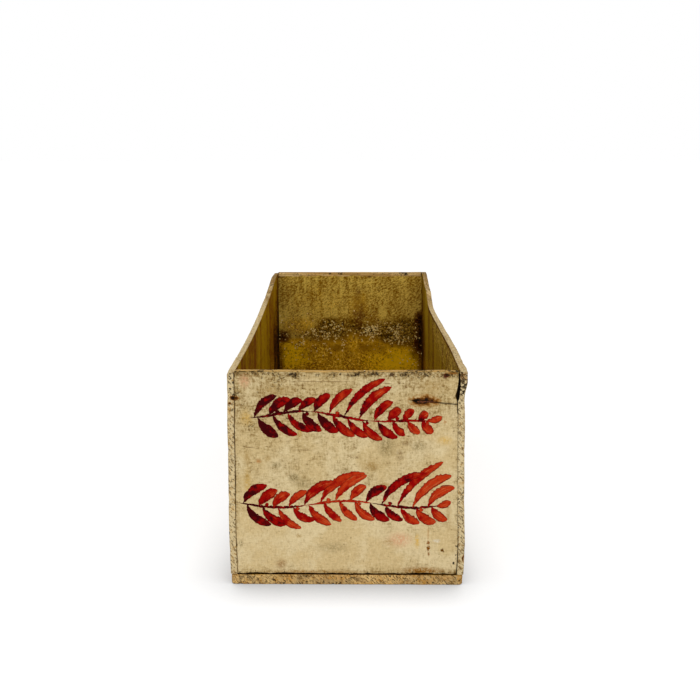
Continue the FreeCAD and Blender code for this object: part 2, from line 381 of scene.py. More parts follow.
@dataclass
class Sheet:
    """Lays out the nodes of one tree."""

    tree: bpy.types.NodeTree

    def feed(self, socket: bpy.types.NodeSocket, value: Any) -> None:
        """Joins a signal to a socket, or sets the socket's plain value.

        Args:
            socket: The input.
            value: The signal or the value. A colour of three parts is an 8-bit sRGB one.
        """
        if isinstance(value, Signal):
            self.tree.links.new(value.socket, socket)
        elif socket.type == "RGBA" and len(value) == 3:
            socket.default_value = linear(value)
        else:
            socket.default_value = value

    def node(self, kind: str, feeds: dict[Any, Any], **settings: Any) -> Placed:
        """Adds a node.

        Args:
            kind: The node's type.
            feeds: What goes into its inputs, by name or number.
            settings: Its own options.

        Returns:
            The node.
        """
        made = self.tree.nodes.new(kind)
        for name, value in settings.items():
            setattr(made, name, value)
        for key, value in feeds.items():
            self.feed(made.inputs[key], value)
        return Placed(self, made)

    def group(self, tree: bpy.types.NodeTree, **feeds: Any) -> Placed:
        """Places a group, with what goes into its inputs by name."""
        return self.node("ShaderNodeGroup", feeds, node_tree=tree)

    def join(self, *parts: Any) -> Signal:
        """Vector of up to three parts."""
        return self.node("ShaderNodeCombineXYZ", dict(enumerate(parts)))[0]

    def mix(self, amount: Any, first: Any, second: Any) -> Signal:
        """Colour between two colours."""
        feeds = {0: amount, 6: first, 7: second}
        return self.node("ShaderNodeMix", feeds, data_type="RGBA", clamp_factor=True)[2]

    def noise(self, place: Signal, size: float, detail: float = 3.0, rough: float = 0.55,
              twist: float = 0.0) -> Signal:
        """Noise from about 0.25 to 0.75.

        Args:
            place: Where to read it, in millimetres.
            size: Size of its largest lumps in millimetres.
            detail: How many sizes of smaller lumps it has.
            rough: How strong the smaller lumps are.
            twist: How far it is pulled out of shape.

        Returns:
            The noise's value.
        """
        feeds = {
            "Vector": place, "Scale": 1 / size, "Detail": detail, "Roughness": rough, "Distortion": twist}
        return self.node("ShaderNodeTexNoise", feeds)[0]

    def turned(self, place: Signal, degrees: float) -> Signal:
        """A place turned about Y."""
        feeds = {"Vector": place, "Rotation": (0.0, math.radians(degrees), 0.0)}
        return self.node("ShaderNodeMapping", feeds)[0]

    def mask(self, name: str) -> Signal:
        """One of the masks kept on a piece's points."""
        return self.node("ShaderNodeAttribute", {}, attribute_name=name)["Fac"]

    def place(self) -> Signal:
        """Place on the object in millimetres."""
        return self.node("ShaderNodeTexCoord", {})["Object"] * (1 / MM)


class GroupSheet(Sheet):
    """Lays out a group with named inputs and outputs."""

    def __init__(self, name: str, takes: dict[str, Kind], gives: dict[str, Kind],
                 family: str = "ShaderNodeTree") -> None:
        """Makes the empty group.

        Args:
            name: The group's name.
            takes: Its inputs.
            gives: Its outputs.
            family: The type of tree.
        """
        tree = bpy.data.node_groups.new(name, family)
        for way, sockets in (("INPUT", takes), ("OUTPUT", gives)):
            for label, kind in sockets.items():
                tree.interface.new_socket(name=label, in_out=way, socket_type=kind.value)
        super().__init__(tree)
        self.taken = Placed(self, tree.nodes.new("NodeGroupInput"))
        self.given = tree.nodes.new("NodeGroupOutput").inputs

    def __getitem__(self, name: str) -> Signal:
        """One of the group's inputs."""
        return self.taken[name]

    def real(self, instances: Signal) -> Signal:
        """Real geometry of a geometry tree's instances, in its Finish."""
        shape = self.node("GeometryNodeRealizeInstances", {"Geometry": instances})[0]
        return self.node("GeometryNodeSetMaterial", {"Geometry": shape, "Material": self["Finish"]})[0]

    def give(self, **signals: Signal) -> bpy.types.NodeTree:
        """Joins the outputs by name and returns the finished group.

        Args:
            signals: What goes into each output, by name.

        Returns:
            The finished group.
        """
        for label, signal in signals.items():
            self.feed(self.given[label], signal)
        return self.tree


@functools.cache
def grain_group() -> bpy.types.NodeTree:
    """Wood grain: growth rings cut by the face and fine fibres, drawn out by Stretch along the board.

    Push moves the rings aside, as a knot does.

    Returns:
        The group.
    """
    s = GroupSheet("wood_grain", dict(Place=VECTOR, Stretch=VECTOR, Push=NUMBER, Light=COLOUR, Dark=COLOUR),
                   dict(Colour=COLOUR, Height=NUMBER))
    drawn = s["Place"] * s["Stretch"]
    rings = drawn.sum("DOT_PRODUCT", (0.9, 0.35, 1.0)) + s.noise(drawn, 38.0, 2.0, 0.45) * 70.0 + s["Push"]
    spread = s.noise(s.join(rings), 9.0, 1.0, 0.4)
    late = ((rings + spread * 14.0) * 1.05).sum("SINE").ramp(-0.1, 1.0)
    both = s.noise(drawn, 14.0, 3.0, 0.55) * 0.4 + s.noise(drawn, 1.2, 4.0, 0.78) * 0.6
    tone = (both.ramp(0.36, 0.6) - late * 0.55).clamped()
    return s.give(Colour=s.mix(tone, s["Dark"], s["Light"]), Height=both + late * 0.12)


@functools.cache
def knot_group() -> bpy.types.NodeTree:
    """A knot: Push is how far it bends the rings round it, and Mask is its own dark wood.

    Returns:
        The group.
    """
    s = GroupSheet("knot", dict(Place=VECTOR, Centre=VECTOR, Shrink=VECTOR, Bend=NUMBER),
                   dict(Push=NUMBER, Mask=NUMBER, Ring=NUMBER))
    away = (s["Place"] - s["Centre"]) * s["Shrink"]
    distance = away.sum("LENGTH")
    parts = s.node("ShaderNodeSeparateXYZ", {0: away})
    push = (parts[0] + parts[2]) / (distance * distance + 0.6) * s["Bend"]
    ragged = distance + s.noise(s["Place"], 2.2, 3.0, 0.6) * 0.5
    rings = (ragged * 17.0).sum("SINE").ramp(-0.4, 0.8)
    return s.give(Push=push * -1.0, Mask=ragged.ramp(1.3, 1.05), Ring=rings)


@functools.cache
def sawn_group() -> bpy.types.NodeTree:
    """Rough-sawn face that holds powder: short slanting flecks of Light on Dark.

    Returns:
        The group.
    """
    s = GroupSheet("rough_sawn", dict(Place=VECTOR, Light=COLOUR, Dark=COLOUR), dict(Colour=COLOUR))
    place = s["Place"]
    flecks = s.noise(s.turned(place, 32) * (0.4, 0.4, 1.0), 1.9, 2.0, 0.8)
    runs = s.noise(place * (1.0, 1.0, 0.12), 7.0, 3.0, 0.6)
    fine = flecks * 0.5 + s.noise(place, 2.2, 3.0, 0.85) * 0.5
    both = fine + (runs + s.noise(place, 34.0, 4.0, 0.6) - 1.0) * 0.26
    return s.give(Colour=s.mix(both.ramp(0.4, 0.6), s["Dark"], s["Light"]))


@functools.cache
def tooth_group() -> bpy.types.NodeTree:
    """Crossed brush drag of old paint over rough wood: a shade from 0 to 1, a height and sparse hairlines.

    Returns:
        The group.
    """
    s = GroupSheet("paint_tooth", dict(Place=VECTOR), dict(Shade=NUMBER, Height=NUMBER, Hairs=NUMBER))
    level = s.noise(s["Place"] * (0.33, 1.0, 1.0), 1.6, 2.0, 0.85)
    upright = s.noise(s["Place"] * (1.0, 1.0, 0.33), 1.6, 2.0, 0.85)
    height = (level + upright) * 0.36 + s.noise(s["Place"], 1.9, 3.0, 0.85) * 0.28
    hairs = level.sum("MINIMUM", upright).ramp(0.33, 0.28)
    return s.give(Shade=height.ramp(0.42, 0.54), Height=height, Hairs=hairs)


@functools.cache
def speck_group() -> bpy.types.NodeTree:
    """Scattered specks of one size, where Amount is the share of cells that hold one.

    Returns:
        The group.
    """
    s = GroupSheet("specks", dict(Place=VECTOR, Size=NUMBER, Amount=NUMBER), dict(Mask=NUMBER))
    wobble = s.noise(s["Place"], 1.0, 2.0)
    bent = s["Place"] + s.join(wobble, 0.0, wobble) * 1.2
    cells = s.node("ShaderNodeTexVoronoi", {"Vector": bent * (1.0 / s["Size"]), "Scale": 1.0})
    luck = s.node("ShaderNodeSeparateColor", {0: cells["Color"]})[0]
    return s.give(Mask=luck.sum("LESS_THAN", s["Amount"]) * cells["Distance"].ramp(0.42, 0.22))


@functools.cache
def fleck_group() -> bpy.types.NodeTree:
    """Ragged flecks that gather in drifts: Size is theirs and Amount, from 0 to 1, how thick they lie.

    Returns:
        The group.
    """
    s = GroupSheet("flecks", dict(Place=VECTOR, Size=NUMBER, Amount=NUMBER), dict(Mask=NUMBER))
    grains = s.noise(s["Place"] * (1.0 / s["Size"]), 1.0, 2.0, 0.8)
    level = s["Amount"] * 0.26 + s.noise(s["Place"], 15.0, 3.0, 0.65) * 0.3 + 0.13
    return s.give(Mask=(level - grains).ramp(0.0, 0.06))


@functools.cache
def wear_group() -> bpy.types.NodeTree:
    """Rubbed arrises: 1 on an arris, fading out raggedly over Reach millimetres.

    Returns:
        The group.
    """
    s = GroupSheet("arris_wear", dict(Place=VECTOR, Arris=NUMBER, Reach=NUMBER), dict(Mask=NUMBER))
    ragged = s.noise(s["Place"], 5.0, 4.0, 0.65) - 0.5
    return s.give(Mask=(s["Arris"] + ragged * 5.0 * s["Reach"]).ramp(s["Reach"], 0.0))


@functools.cache
def spot_group() -> bpy.types.NodeTree:
    """One oval stain, with an edge that is crisp at a Softness of 0.

    Returns:
        The group.
    """
    takes = dict(Place=VECTOR, Centre=VECTOR, Shrink=VECTOR, Softness=NUMBER, Ragged=NUMBER)
    s = GroupSheet("spot", takes, dict(Mask=NUMBER))
    distance = ((s["Place"] - s["Centre"]) * s["Shrink"]).sum("LENGTH") + s["Ragged"]
    return s.give(Mask=distance.ramp(1.05 + s["Softness"] * 0.6, 1.0 - s["Softness"]))


@functools.cache
def rust_group() -> bpy.types.NodeTree:
    """Rust that has crept into wood: Amount is 1 at the iron and 0 where the stain ends.

    Returns:
        The group.
    """
    s = GroupSheet("rust_bloom", dict(Place=VECTOR, Amount=NUMBER), dict(Mask=NUMBER, Colour=COLOUR))
    reach = s["Amount"] + (s.noise(s["Place"], 2.4, 4.0, 0.7) - 0.5) * 0.9
    colour = s.mix(reach.ramp(0.3, 0.75), (168, 112, 40), (96, 54, 14))
    colour = colour.tint(reach.ramp(0.78, 1.0), (34, 20, 12))
    return s.give(Mask=reach.ramp(0.12, 0.6) * s["Amount"].ramp(0.0, 0.12), Colour=colour)


@functools.cache
def coat_group() -> bpy.types.NodeTree:
    """Years of powdered earth on the bin's inner faces.

    The four masks are loose ochre, the crusted line at which the powder stood, soot with painted shade in the
    corners, and a pale crackled bloom.

    Returns:
        The group.
    """
    takes = dict(Place=VECTOR, Base=COLOUR, Dust=NUMBER, Crust=NUMBER, Soot_and_shade=NUMBER, Bloom=NUMBER)
    s = GroupSheet("pigment_coat", takes, dict(Colour=COLOUR, Height=NUMBER))
    lumps = s.noise(s["Place"], 3.0, 4.0, 0.85)
    clouds = s.noise(s["Place"], 24.0, 4.0, 0.6)
    ragged = lumps - 0.5
    drift = clouds - 0.5
    ochre = s.mix(clouds.ramp(0.38, 0.6), (206, 152, 6), (158, 108, 2))
    # Painted highlight on the lumps' tops and painted shade between them, on an ochre that varies.
    ochre = ochre.tint(lumps.ramp(0.52, 0.61), (255, 212, 84)).tint(lumps.ramp(0.47, 0.38), (90, 54, 0))
    bright = s["Dust"] + drift * 2.4 + ragged * 3.0
    ochre = ochre.tint(bright.ramp(1.0, 2.1, 0.0, 0.9), (255, 202, 14))
    colour = s["Base"].tint((s["Dust"] + ragged * 1.8).ramp(0.15, 0.85), ochre)
    cake = s["Crust"] * (ragged * 6.0 + drift + 1.0)
    colour = colour.tint(cake.ramp(0.1, 0.9), (122, 84, 1)).tint(cake.ramp(0.7, 1.5, 0.0, 0.95), (34, 18, 0))
    film = s["Bloom"] * (ragged * 5.0 + 1.0)
    colour = colour.tint(film.ramp(0.5, 1.5, 0.0, 0.6), (176, 148, 70))
    colour = colour.tint(s["Bloom"] * ragged.ramp(-0.01, -0.1) * 0.75, (62, 34, 0))
    share = s["Crust"] * 0.6 + s["Bloom"] * 0.85
    flakes = s.group(fleck_group(), Place=s["Place"], Size=2.9, Amount=share)["Mask"]
    flakes = flakes * (cake + film).ramp(0.2, 0.6, 0.0, 0.7)
    # Soot with painted shade: brown-black, and near-black where the mask is strong.
    soot_and_shade = s["Soot_and_shade"] * (ragged * 4.0 + 1.0) + drift * 0.7
    colour = colour.tint(flakes, (236, 190, 84)).tint(soot_and_shade.ramp(0.05, 0.6, 0.0, 0.9), (84, 36, 1))
    height = lumps * (0.4 + s["Crust"]) + flakes * 0.5
    return s.give(Colour=colour.tint(soot_and_shade.ramp(0.5, 1.1), (26, 12, 2)), Height=height)


# Finishes

@dataclass(frozen=True)
class Surface:
    """What a finish gives its shader. Depth is what a height of 1 stands for, in millimetres."""

    colour: Signal
    rough: Signal
    height: Signal
    depth: float
    metal: Any = 0.0


@dataclass(frozen=True)
class Finish:
    """A material that is built from its values."""

    name: str
    gloss: float

    def surface(self, s: Sheet, place: Signal) -> Surface:
        """Colour and relief at a place on the object in millimetres."""
        raise NotImplementedError

    def material(self) -> bpy.types.Material:
        """Builds the material.

        Returns:
            The material.
        """
        made = bpy.data.materials.new(self.name)
        made.use_nodes = True
        s = Sheet(made.node_tree)
        shader = made.node_tree.nodes["Principled BSDF"].inputs
        done = self.surface(s, s.place())
        relief = {"Height": done.height, "Distance": done.depth * MM, "Strength": 1.0}
        feeds = {"Base Color": done.colour, "Roughness": done.rough, "Metallic": done.metal,
                 "Specular IOR Level": self.gloss, "Normal": s.node("ShaderNodeBump", relief)[0]}
        for socket, value in feeds.items():
            s.feed(shader[socket], value)
        return made


@dataclass(frozen=True)
class Stain:
    """A mark on the painted front: its middle and half sizes in millimetres, its colour and its strength."""

    x: float
    z: float
    across: float
    up: float
    colour: Rgb
    strength: float
    softness: float


TAN = (172, 138, 78)
OCHRE = (198, 158, 78)
YELLOW = (220, 176, 84)
RUSTY = (178, 112, 44)
GREYISH = (136, 116, 72)
BROWN = (112, 78, 36)
DARK_BROWN = (136, 80, 10)
BLACK = (34, 22, 12)
PINK = (218, 156, 116)
PALE = (228, 220, 200)
# Near-black painted shade for gaps, cracks, joints and faces that lie under other boards.
GAP_SHADE = (20, 12, 6)

FRONT_STAINS = tuple(Stain(*row) for row in (
    (-84.9, 180.2, 4.5, 5.5, PINK, 0.45, 0.9), (-42.5, 185.4, 0.55, 2.4, BLACK, 0.85, 0.3),
    (-11.0, 185.0, 0.8, 0.8, BLACK, 0.85, 0.3), (37.1, 185.6, 2.3, 1.7, (62, 34, 14), 0.85, 0.35),
    (43.4, 178.8, 0.7, 1.1, BROWN, 0.7, 0.4), (48.8, 175.4, 0.9, 1.2, BROWN, 0.6, 0.4),
    (-22.0, 180.0, 25.0, 0.3, BROWN, 0.65, 0.6), (33.0, 178.4, 4.0, 0.3, BROWN, 0.8, 0.6),
    (-55.4, 151.0, 3.0, 0.3, BROWN, 0.7, 0.6), (-82.0, 123.1, 5.0, 0.35, BROWN, 0.8, 0.6),
    (-37.0, 120.9, 9.5, 0.3, BROWN, 0.65, 0.6), (1.6, 89.7, 3.2, 0.3, BROWN, 0.7, 0.6),
    (89.5, 140.6, 2.2, 0.3, BROWN, 0.8, 0.6), (-84.1, 149.2, 5.0, 6.5, YELLOW, 0.4, 0.9),
    (-83.7, 114.3, 3.2, 6.0, TAN, 0.5, 0.8), (-74.5, 111.1, 2.2, 1.8, RUSTY, 0.6, 0.6),
    (-66.0, 113.4, 2.0, 2.6, TAN, 0.55, 0.7), (-59.3, 107.3, 3.6, 3.0, GREYISH, 0.65, 0.7),
    (-45.0, 96.7, 4.6, 3.2, GREYISH, 0.7, 0.7), (-37.5, 91.4, 8.0, 5.5, GREYISH, 0.45, 0.9),
    (-39.6, 137.2, 2.0, 5.0, OCHRE, 0.6, 0.7), (32.6, 125.6, 8.0, 10.5, GREYISH, 0.5, 0.9),
    (8.3, 114.6, 1.3, 1.2, BROWN, 0.6, 0.5), (-1.0, 100.4, 6.0, 5.0, GREYISH, 0.4, 0.9),
    (31.3, 90.7, 4.2, 1.7, TAN, 0.65, 0.5), (-5.2, 81.7, 4.5, 5.5, OCHRE, 0.35, 0.9),
    (82.2, 129.7, 6.5, 4.0, YELLOW, 0.45, 0.8), (49.2, 127.0, 4.5, 2.6, BROWN, 0.4, 0.8),
    (60.4, 124.4, 6.0, 4.2, GREYISH, 0.5, 0.8), (81.8, 145.4, 1.6, 1.1, RUSTY, 0.5, 0.6),
    (-56.4, 18.8, 4.8, 4.4, (142, 100, 56), 0.5, 0.8), (-41.3, 44.5, 2.6, 1.9, TAN, 0.5, 0.7),
    (-90.8, 37.5, 2.0, 3.2, GREYISH, 0.5, 0.7), (3.4, 42.8, 0.6, 0.6, BROWN, 0.7, 0.4),
    (-2.6, 36.9, 0.6, 0.6, BROWN, 0.6, 0.4), (44.6, 41.2, 10.0, 6.5, PINK, 0.55, 0.95),
    (35.2, 38.8, 5.0, 3.0, TAN, 0.5, 0.8), (60.0, 39.8, 1.9, 6.5, YELLOW, 0.6, 0.7),
    (69.2, 46.5, 0.4, 6.0, RUSTY, 0.6, 0.6), (69.5, 38.3, 1.1, 2.0, DARK_BROWN, 0.9, 0.5),
    (69.6, 33.4, 1.4, 2.3, (128, 74, 8), 1.0, 0.5), (69.8, 28.0, 0.9, 1.9, DARK_BROWN, 0.8, 0.5),
    (76.3, 40.4, 3.2, 1.6, PALE, 0.5, 0.8), (81.7, 31.7, 1.4, 1.8, (104, 66, 20), 1.0, 0.4),
    (91.4, 19.8, 1.0, 1.4, BLACK, 0.95, 0.4), (64.0, 13.0, 17.0, 3.2, (150, 98, 24), 0.8, 0.8),
    (-30.0, 11.6, 44.0, 1.5, (164, 118, 54), 0.45, 0.8), (81.4, 185.1, 2.2, 2.6, (84, 22, 10), 0.9, 0.35),
    (87.0, 187.0, 4.0, 0.8, (128, 62, 24), 0.7, 0.6), (-84.0, 92.0, 3.0, 14.0, OCHRE, 0.5, 0.9),
    (-68.0, 78.0, 3.0, 3.0, TAN, 0.5, 0.8), (-12.0, 34.0, 14.0, 5.0, GREYISH, 0.35, 0.95),
    (20.0, 108.0, 9.0, 5.0, TAN, 0.5, 0.9), (44.0, 117.0, 3.0, 5.0, BROWN, 0.45, 0.8),
    (70.0, 176.0, 12.0, 7.0, TAN, 0.4, 0.9), (-60.0, 172.0, 16.0, 6.0, TAN, 0.4, 0.9),
    (86.0, 62.0, 3.0, 12.0, TAN, 0.45, 0.9),
))


@dataclass(frozen=True)
class Knot:
    """A knot in a board: its middle and its size across the grain, in millimetres."""

    centre: Triple
    size: float


@dataclass(frozen=True)
class WoodLook:
    """What a board's bare wood and its inner face are like."""

    light: Rgb
    dark: Rgb
    inner_light: Rgb
    inner_dark: Rgb
    stretch: Triple
    face: Triple
    knots: tuple[Knot, ...] = ()
    sawn: bool = False
    bite: float = 0.25
    drag: Triple = (1.0, 0.3, 1.0)

    def grain(self, s: Sheet, place: Signal) -> tuple[Signal, Signal]:
        """Bare wood with its knots.

        Args:
            s: The material's sheet.
            place: The place on the object in millimetres.

        Returns:
            Its colour and its height.
        """
        push: Any = 0.0
        placed = []
        for knot in self.knots:
            shrink = tuple(f * (0.62 if d < 1 else 1.0) / knot.size for f, d in zip(self.face, self.stretch))
            marks = s.group(knot_group(), Place=place, Centre=knot.centre, Shrink=shrink, Bend=knot.size)
            placed.append(marks)
            push = push + marks["Push"]
        wood = s.group(grain_group(), Place=place, Stretch=self.stretch, Push=push, Light=self.light,
                       Dark=self.dark)
        colour = wood["Colour"]
        for marks in placed:
            ringed = s.mix(marks["Ring"], self.dark, (110, 72, 36))
            colour = colour.tint(marks["Mask"] * 0.85, ringed)
        return colour, wood["Height"]

    def inner_face(self, s: Sheet, place: Signal) -> Placed:
        """Coated inner face.

        Args:
            s: The material's sheet.
            place: The place on the object in millimetres.

        Returns:
            A node with its Colour and its Height.
        """
        if self.sawn:
            base = s.group(sawn_group(), Place=place, Light=self.inner_light, Dark=self.inner_dark)["Colour"]
        else:
            fine = s.noise(place * (1.0, 1.0, 0.35), 3.0, 4.0, 0.85) - 0.5
            tone = s.noise(place * (1.0, 1.0, 0.1), 48.0, 3.0, 0.5) + fine * self.bite
            base = s.mix(tone.ramp(0.36, 0.64), self.inner_dark, self.inner_light)
            place = place * self.drag
        masks = {name: s.mask(name.lower()) for name in ("Dust", "Crust", "Soot_and_shade", "Bloom")}
        return s.group(coat_group(), Place=place, Base=base, **masks)


@dataclass(frozen=True)
class BoardFinish(Finish):
    """What bare and painted boards share: rubbed arrises, grime, rust, a powdered inner face and painted
    shade in gaps.
    """

    look: WoodLook

    def aged(self, s: Sheet, place: Signal, colour: Signal, rubbed: Rgb, rub: float, reach: float,
             grime: Rgb, thin: tuple[float, float]) -> tuple[Signal, Signal, Signal]:
        """Lays wear, grime, rust, the inner face's powder and painted shade in gaps over a colour.

        Args:
            s: The material's sheet.
            place: The place on the object in millimetres.
            colour: The colour so far.
            rubbed: Colour of the rubbed arrises.
            rub: How strong it is.
            reach: How far it reaches from an arris, in millimetres.
            grime: Colour of the grime.
            thin: Amounts between which the grime fades in.

        Returns:
            The new colour, the grime's mask and the powder's height.
        """
        worn = s.group(wear_group(), Place=place, Arris=s.mask("arris"), Reach=reach)["Mask"]
        flecks = s.group(fleck_group(), Place=place, Size=2.6, Amount=s.mask("grime"))["Mask"]
        flecks = flecks * s.mask("grime").ramp(*thin)
        rust = s.group(rust_group(), Place=place, Amount=s.mask("rust"))
        inner = self.look.inner_face(s, place)
        ragged = (s.noise(place, 2.5, 3.0, 0.7) - 0.5) * 0.5
        inside = (s.mask("inside") + ragged).ramp(0.55, 0.85)
        colour = colour.tint(worn * rub, rubbed).tint(flecks * 0.9, grime).tint(rust["Mask"], rust["Colour"])
        # The last tint paints near-black shade into gaps, cracks and undersides.
        colour = colour.tint(inside, inner["Colour"]).tint(s.mask("gap_shade"), GAP_SHADE)
        return colour, flecks, inner["Height"] * inside


@dataclass(frozen=True)
class BareWood(BoardFinish):
    """Old dry softwood with nail rust, soil and a powdered inner face."""

    soiling: float = 0.55
    patching: float = 0.2
    soil: Rgb = (126, 96, 50)
    warm_patch: Rgb = (206, 142, 40)
    dark_patch: Rgb = (96, 66, 26)
    old_paint: Rgb = (222, 202, 156)
    check: Rgb = (70, 46, 20)
    torn_grain: Rgb = (96, 70, 32)
    rubbed: Rgb = (150, 116, 64)
    grime: Rgb = (30, 20, 10)

    def surface(self, s: Sheet, place: Signal) -> Surface:
        """Grain, soil, brown patches, checks, pits and torn end grain under the common wear.

        Args:
            s: The material's sheet.
            place: The place on the object in millimetres.

        Returns:
            The surface.
        """
        wood, relief = self.look.grain(s, place)
        clouds = s.noise(place, 46.0, 5.0, 0.66)
        soiled = (clouds + s.mask("soil") * 0.3).ramp(0.46, 0.72, 0.0, self.soiling)
        warm = s.noise(place, 10.0, 4.0, 0.75)
        colour = wood.tint(soiled, self.soil)
        colour = colour.tint(warm.ramp(0.5, 0.62, 0.0, self.patching), self.warm_patch)
        colour = colour.tint(warm.ramp(0.46, 0.36, 0.0, self.patching), self.dark_patch)
        paint = s.mask("painted") * s.noise(place, 3.0, 4.0, 0.7).ramp(0.36, 0.52)
        drawn = place * self.look.stretch
        checks = (s.noise(drawn, 3.2, 2.0, 0.4, 0.3) - 0.5).sum("ABSOLUTE").ramp(0.006, 0.0)
        checks = checks * s.noise(drawn, 19.0, 1.0).ramp(0.5, 0.6) * (1.0 - s.mask("endgrain"))
        pits = s.group(speck_group(), Place=place, Size=2.2, Amount=0.16)["Mask"]
        torn = s.noise(s.turned(place, 40) * (1.0, 1.0, 0.3), 1.25, 2.0, 0.7)
        hatch = s.mask("endgrain") * torn.ramp(0.53, 0.62)
        colour = colour.tint(paint, self.old_paint).tint(checks * 0.7, self.check)
        colour = colour.tint(pits * 0.6, BROWN).tint(hatch * 0.75, self.torn_grain)
        colour, grime, powder = self.aged(
            s, place, colour, self.rubbed, rub=0.3, reach=1.2, grime=self.grime, thin=(0.0, 0.2))
        height = relief * 0.6 + powder - (pits + hatch + (checks + grime)) * 0.35
        return Surface(colour, clouds.ramp(0.4, 0.65, 0.82, 0.96), height, 0.9)


@dataclass(frozen=True)
class FrontPaint(BoardFinish):
    """Cream distemper on the front board, soiled and stained, with painted shade and highlight on its brush
    drag, over a powdered inner face.
    """

    cream: Rgb = (228, 207, 160)
    dull_cream: Rgb = (219, 194, 142)
    thin_soil: Rgb = (180, 156, 104)
    hollow_soil_and_shade: Rgb = (138, 106, 54)
    ridge_highlight: Rgb = (246, 230, 190)
    hairline: Rgb = (112, 84, 40)
    pit: Rgb = (88, 62, 26)
    dirt: Rgb = (112, 82, 34)
    bare: Rgb = (212, 170, 98)
    rubbed: Rgb = (126, 96, 46)
    grime: Rgb = (44, 28, 12)

    def stained(self, s: Sheet, place: Signal, colour: Signal) -> Signal:
        """Lays the stains on a colour.

        Args:
            s: The material's sheet.
            place: The place on the object in millimetres.
            colour: The colour so far.

        Returns:
            The new colour.
        """
        drift = s.node("ShaderNodeTexNoise", {"Vector": place, "Scale": 0.45, "Detail": 3.0})["Color"]
        bent = place + (drift - (0.5, 0.5, 0.5)) * 3.2
        mossy = s.noise(place, 2.6, 3.0, 0.85).ramp(0.42, 0.56, 0.3, 1.7)
        crumbly = (s.noise(place, 2.6, 4.0, 0.75) - 0.5) * 2.6
        for stain in FRONT_STAINS:
            crisp = min(stain.across, stain.up) < 0.7
            mask = s.group(spot_group(), Place=place if crisp else bent, Centre=(stain.x, 0.0, stain.z),
                           Shrink=(1 / stain.across, 0.0, 1 / stain.up), Softness=stain.softness,
                           Ragged=0.0 if crisp else crumbly)["Mask"]
            mask = mask * mossy if stain.softness > 0.6 else mask
            colour = colour.tint(mask * stain.strength, stain.colour)
        return colour

    def surface(self, s: Sheet, place: Signal) -> Surface:
        """Brush drag with painted shade in its hollows and a painted highlight on its ridges, soil, pits and
        stains under the common wear.

        Args:
            s: The material's sheet.
            place: The place on the object in millimetres.

        Returns:
            The surface.
        """
        patches = s.noise(place, 12.0, 5.0, 0.7)
        tooth = s.group(tooth_group(), Place=place)
        soil = s.mask("soil") + (patches - 0.5) * 1.8
        colour = s.mix(s.noise(place, 36.0, 3.0, 0.55).ramp(0.42, 0.6), self.cream, self.dull_cream)
        colour = colour.tint(soil.ramp(-0.1, 1.1, 0.0, 0.8), self.thin_soil)
        # Painted shade in the tooth's hollows, mixed with soil where soil lies, and a painted highlight on
        # its ridges.
        colour = colour.tint((1.0 - tooth["Shade"]) * soil.ramp(0.1, 0.8, 0.2, 0.9), self.hollow_soil_and_shade)
        colour = colour.tint(tooth["Height"].ramp(0.54, 0.62, 0.0, 0.3), self.ridge_highlight)
        colour = colour.tint(tooth["Hairs"] * soil.ramp(-0.1, 0.6, 0.25, 0.9), self.hairline)
        amount = soil.ramp(0.5, 1.1, 0.2, 0.7)
        pits = s.group(fleck_group(), Place=place, Size=2.1, Amount=amount)["Mask"] * soil.ramp(0.5, 0.8)
        dirt = s.mask("soil") + (s.noise(place, 3.4, 4.0, 0.8) - 0.5) * 2.4
        colour = colour.tint(pits * 0.75, self.pit).tint(dirt.ramp(0.9, 1.3, 0.0, 0.55), self.dirt)
        colour = s.mix(s.mask("painted"), self.bare, self.stained(s, place, colour))
        colour, grime, powder = self.aged(
            s, place, colour, self.rubbed, rub=0.5, reach=0.9, grime=self.grime, thin=(0.05, 0.3))
        height = tooth["Height"] + powder - (pits + grime) * 0.4
        return Surface(colour, patches.ramp(0.4, 0.65, 0.72, 0.9), height, 1.2)


@dataclass(frozen=True)
class BrushPaint(Finish):
    """Red oil paint pulled with a wide brush, dark where it lies thick and orange where it is thin."""

    thick: Rgb = (62, 1, 4)
    full: Rgb = (150, 2, 1)
    thin: Rgb = (190, 54, 18)
    ground: Rgb = (216, 160, 96)
    edge: Rgb = (84, 2, 2)
    hollow: Rgb = (60, 6, 6)

    def surface(self, s: Sheet, place: Signal) -> Surface:
        """Bristle marks along each stroke, pools of paint, dark rims and painted shade in the tooth's
        hollows.

        Args:
            s: The material's sheet.
            place: The place on the object in millimetres.

        Returns:
            The surface.
        """
        run = s.join(s.mask("along"), s.mask("across"), s.mask("pull"))
        bristles = s.noise(run * (0.12, 1.0, 9.0), 0.22, 3.0, 0.6)
        pools = s.noise(place, 6.0, 3.0, 0.55) - 0.5
        load = s.mask("tone") + pools * 1.9 + (bristles - 0.5) * 0.5
        colour = s.mix(load.ramp(0.02, 0.42), self.thick, self.full)
        colour = colour.tint(load.ramp(0.42, 1.0), self.thin)
        bare = bristles.ramp(0.56, 0.72) * load.ramp(0.45, 1.1)
        rim = (s.mask("across").sum("ABSOLUTE") + pools).ramp(0.62, 0.95)
        tooth = s.group(tooth_group(), Place=place)
        colour = colour.tint(bare * 0.55, self.ground).tint(rim * 0.7, self.edge)
        # Painted shade in the hollows of the tooth.
        colour = colour.tint(tooth["Shade"].ramp(0.25, 0.0) * 0.3, self.hollow)
        return Surface(colour, load.ramp(0.0, 1.0, 0.55, 0.8), tooth["Height"] + bristles * 0.5, 0.3)


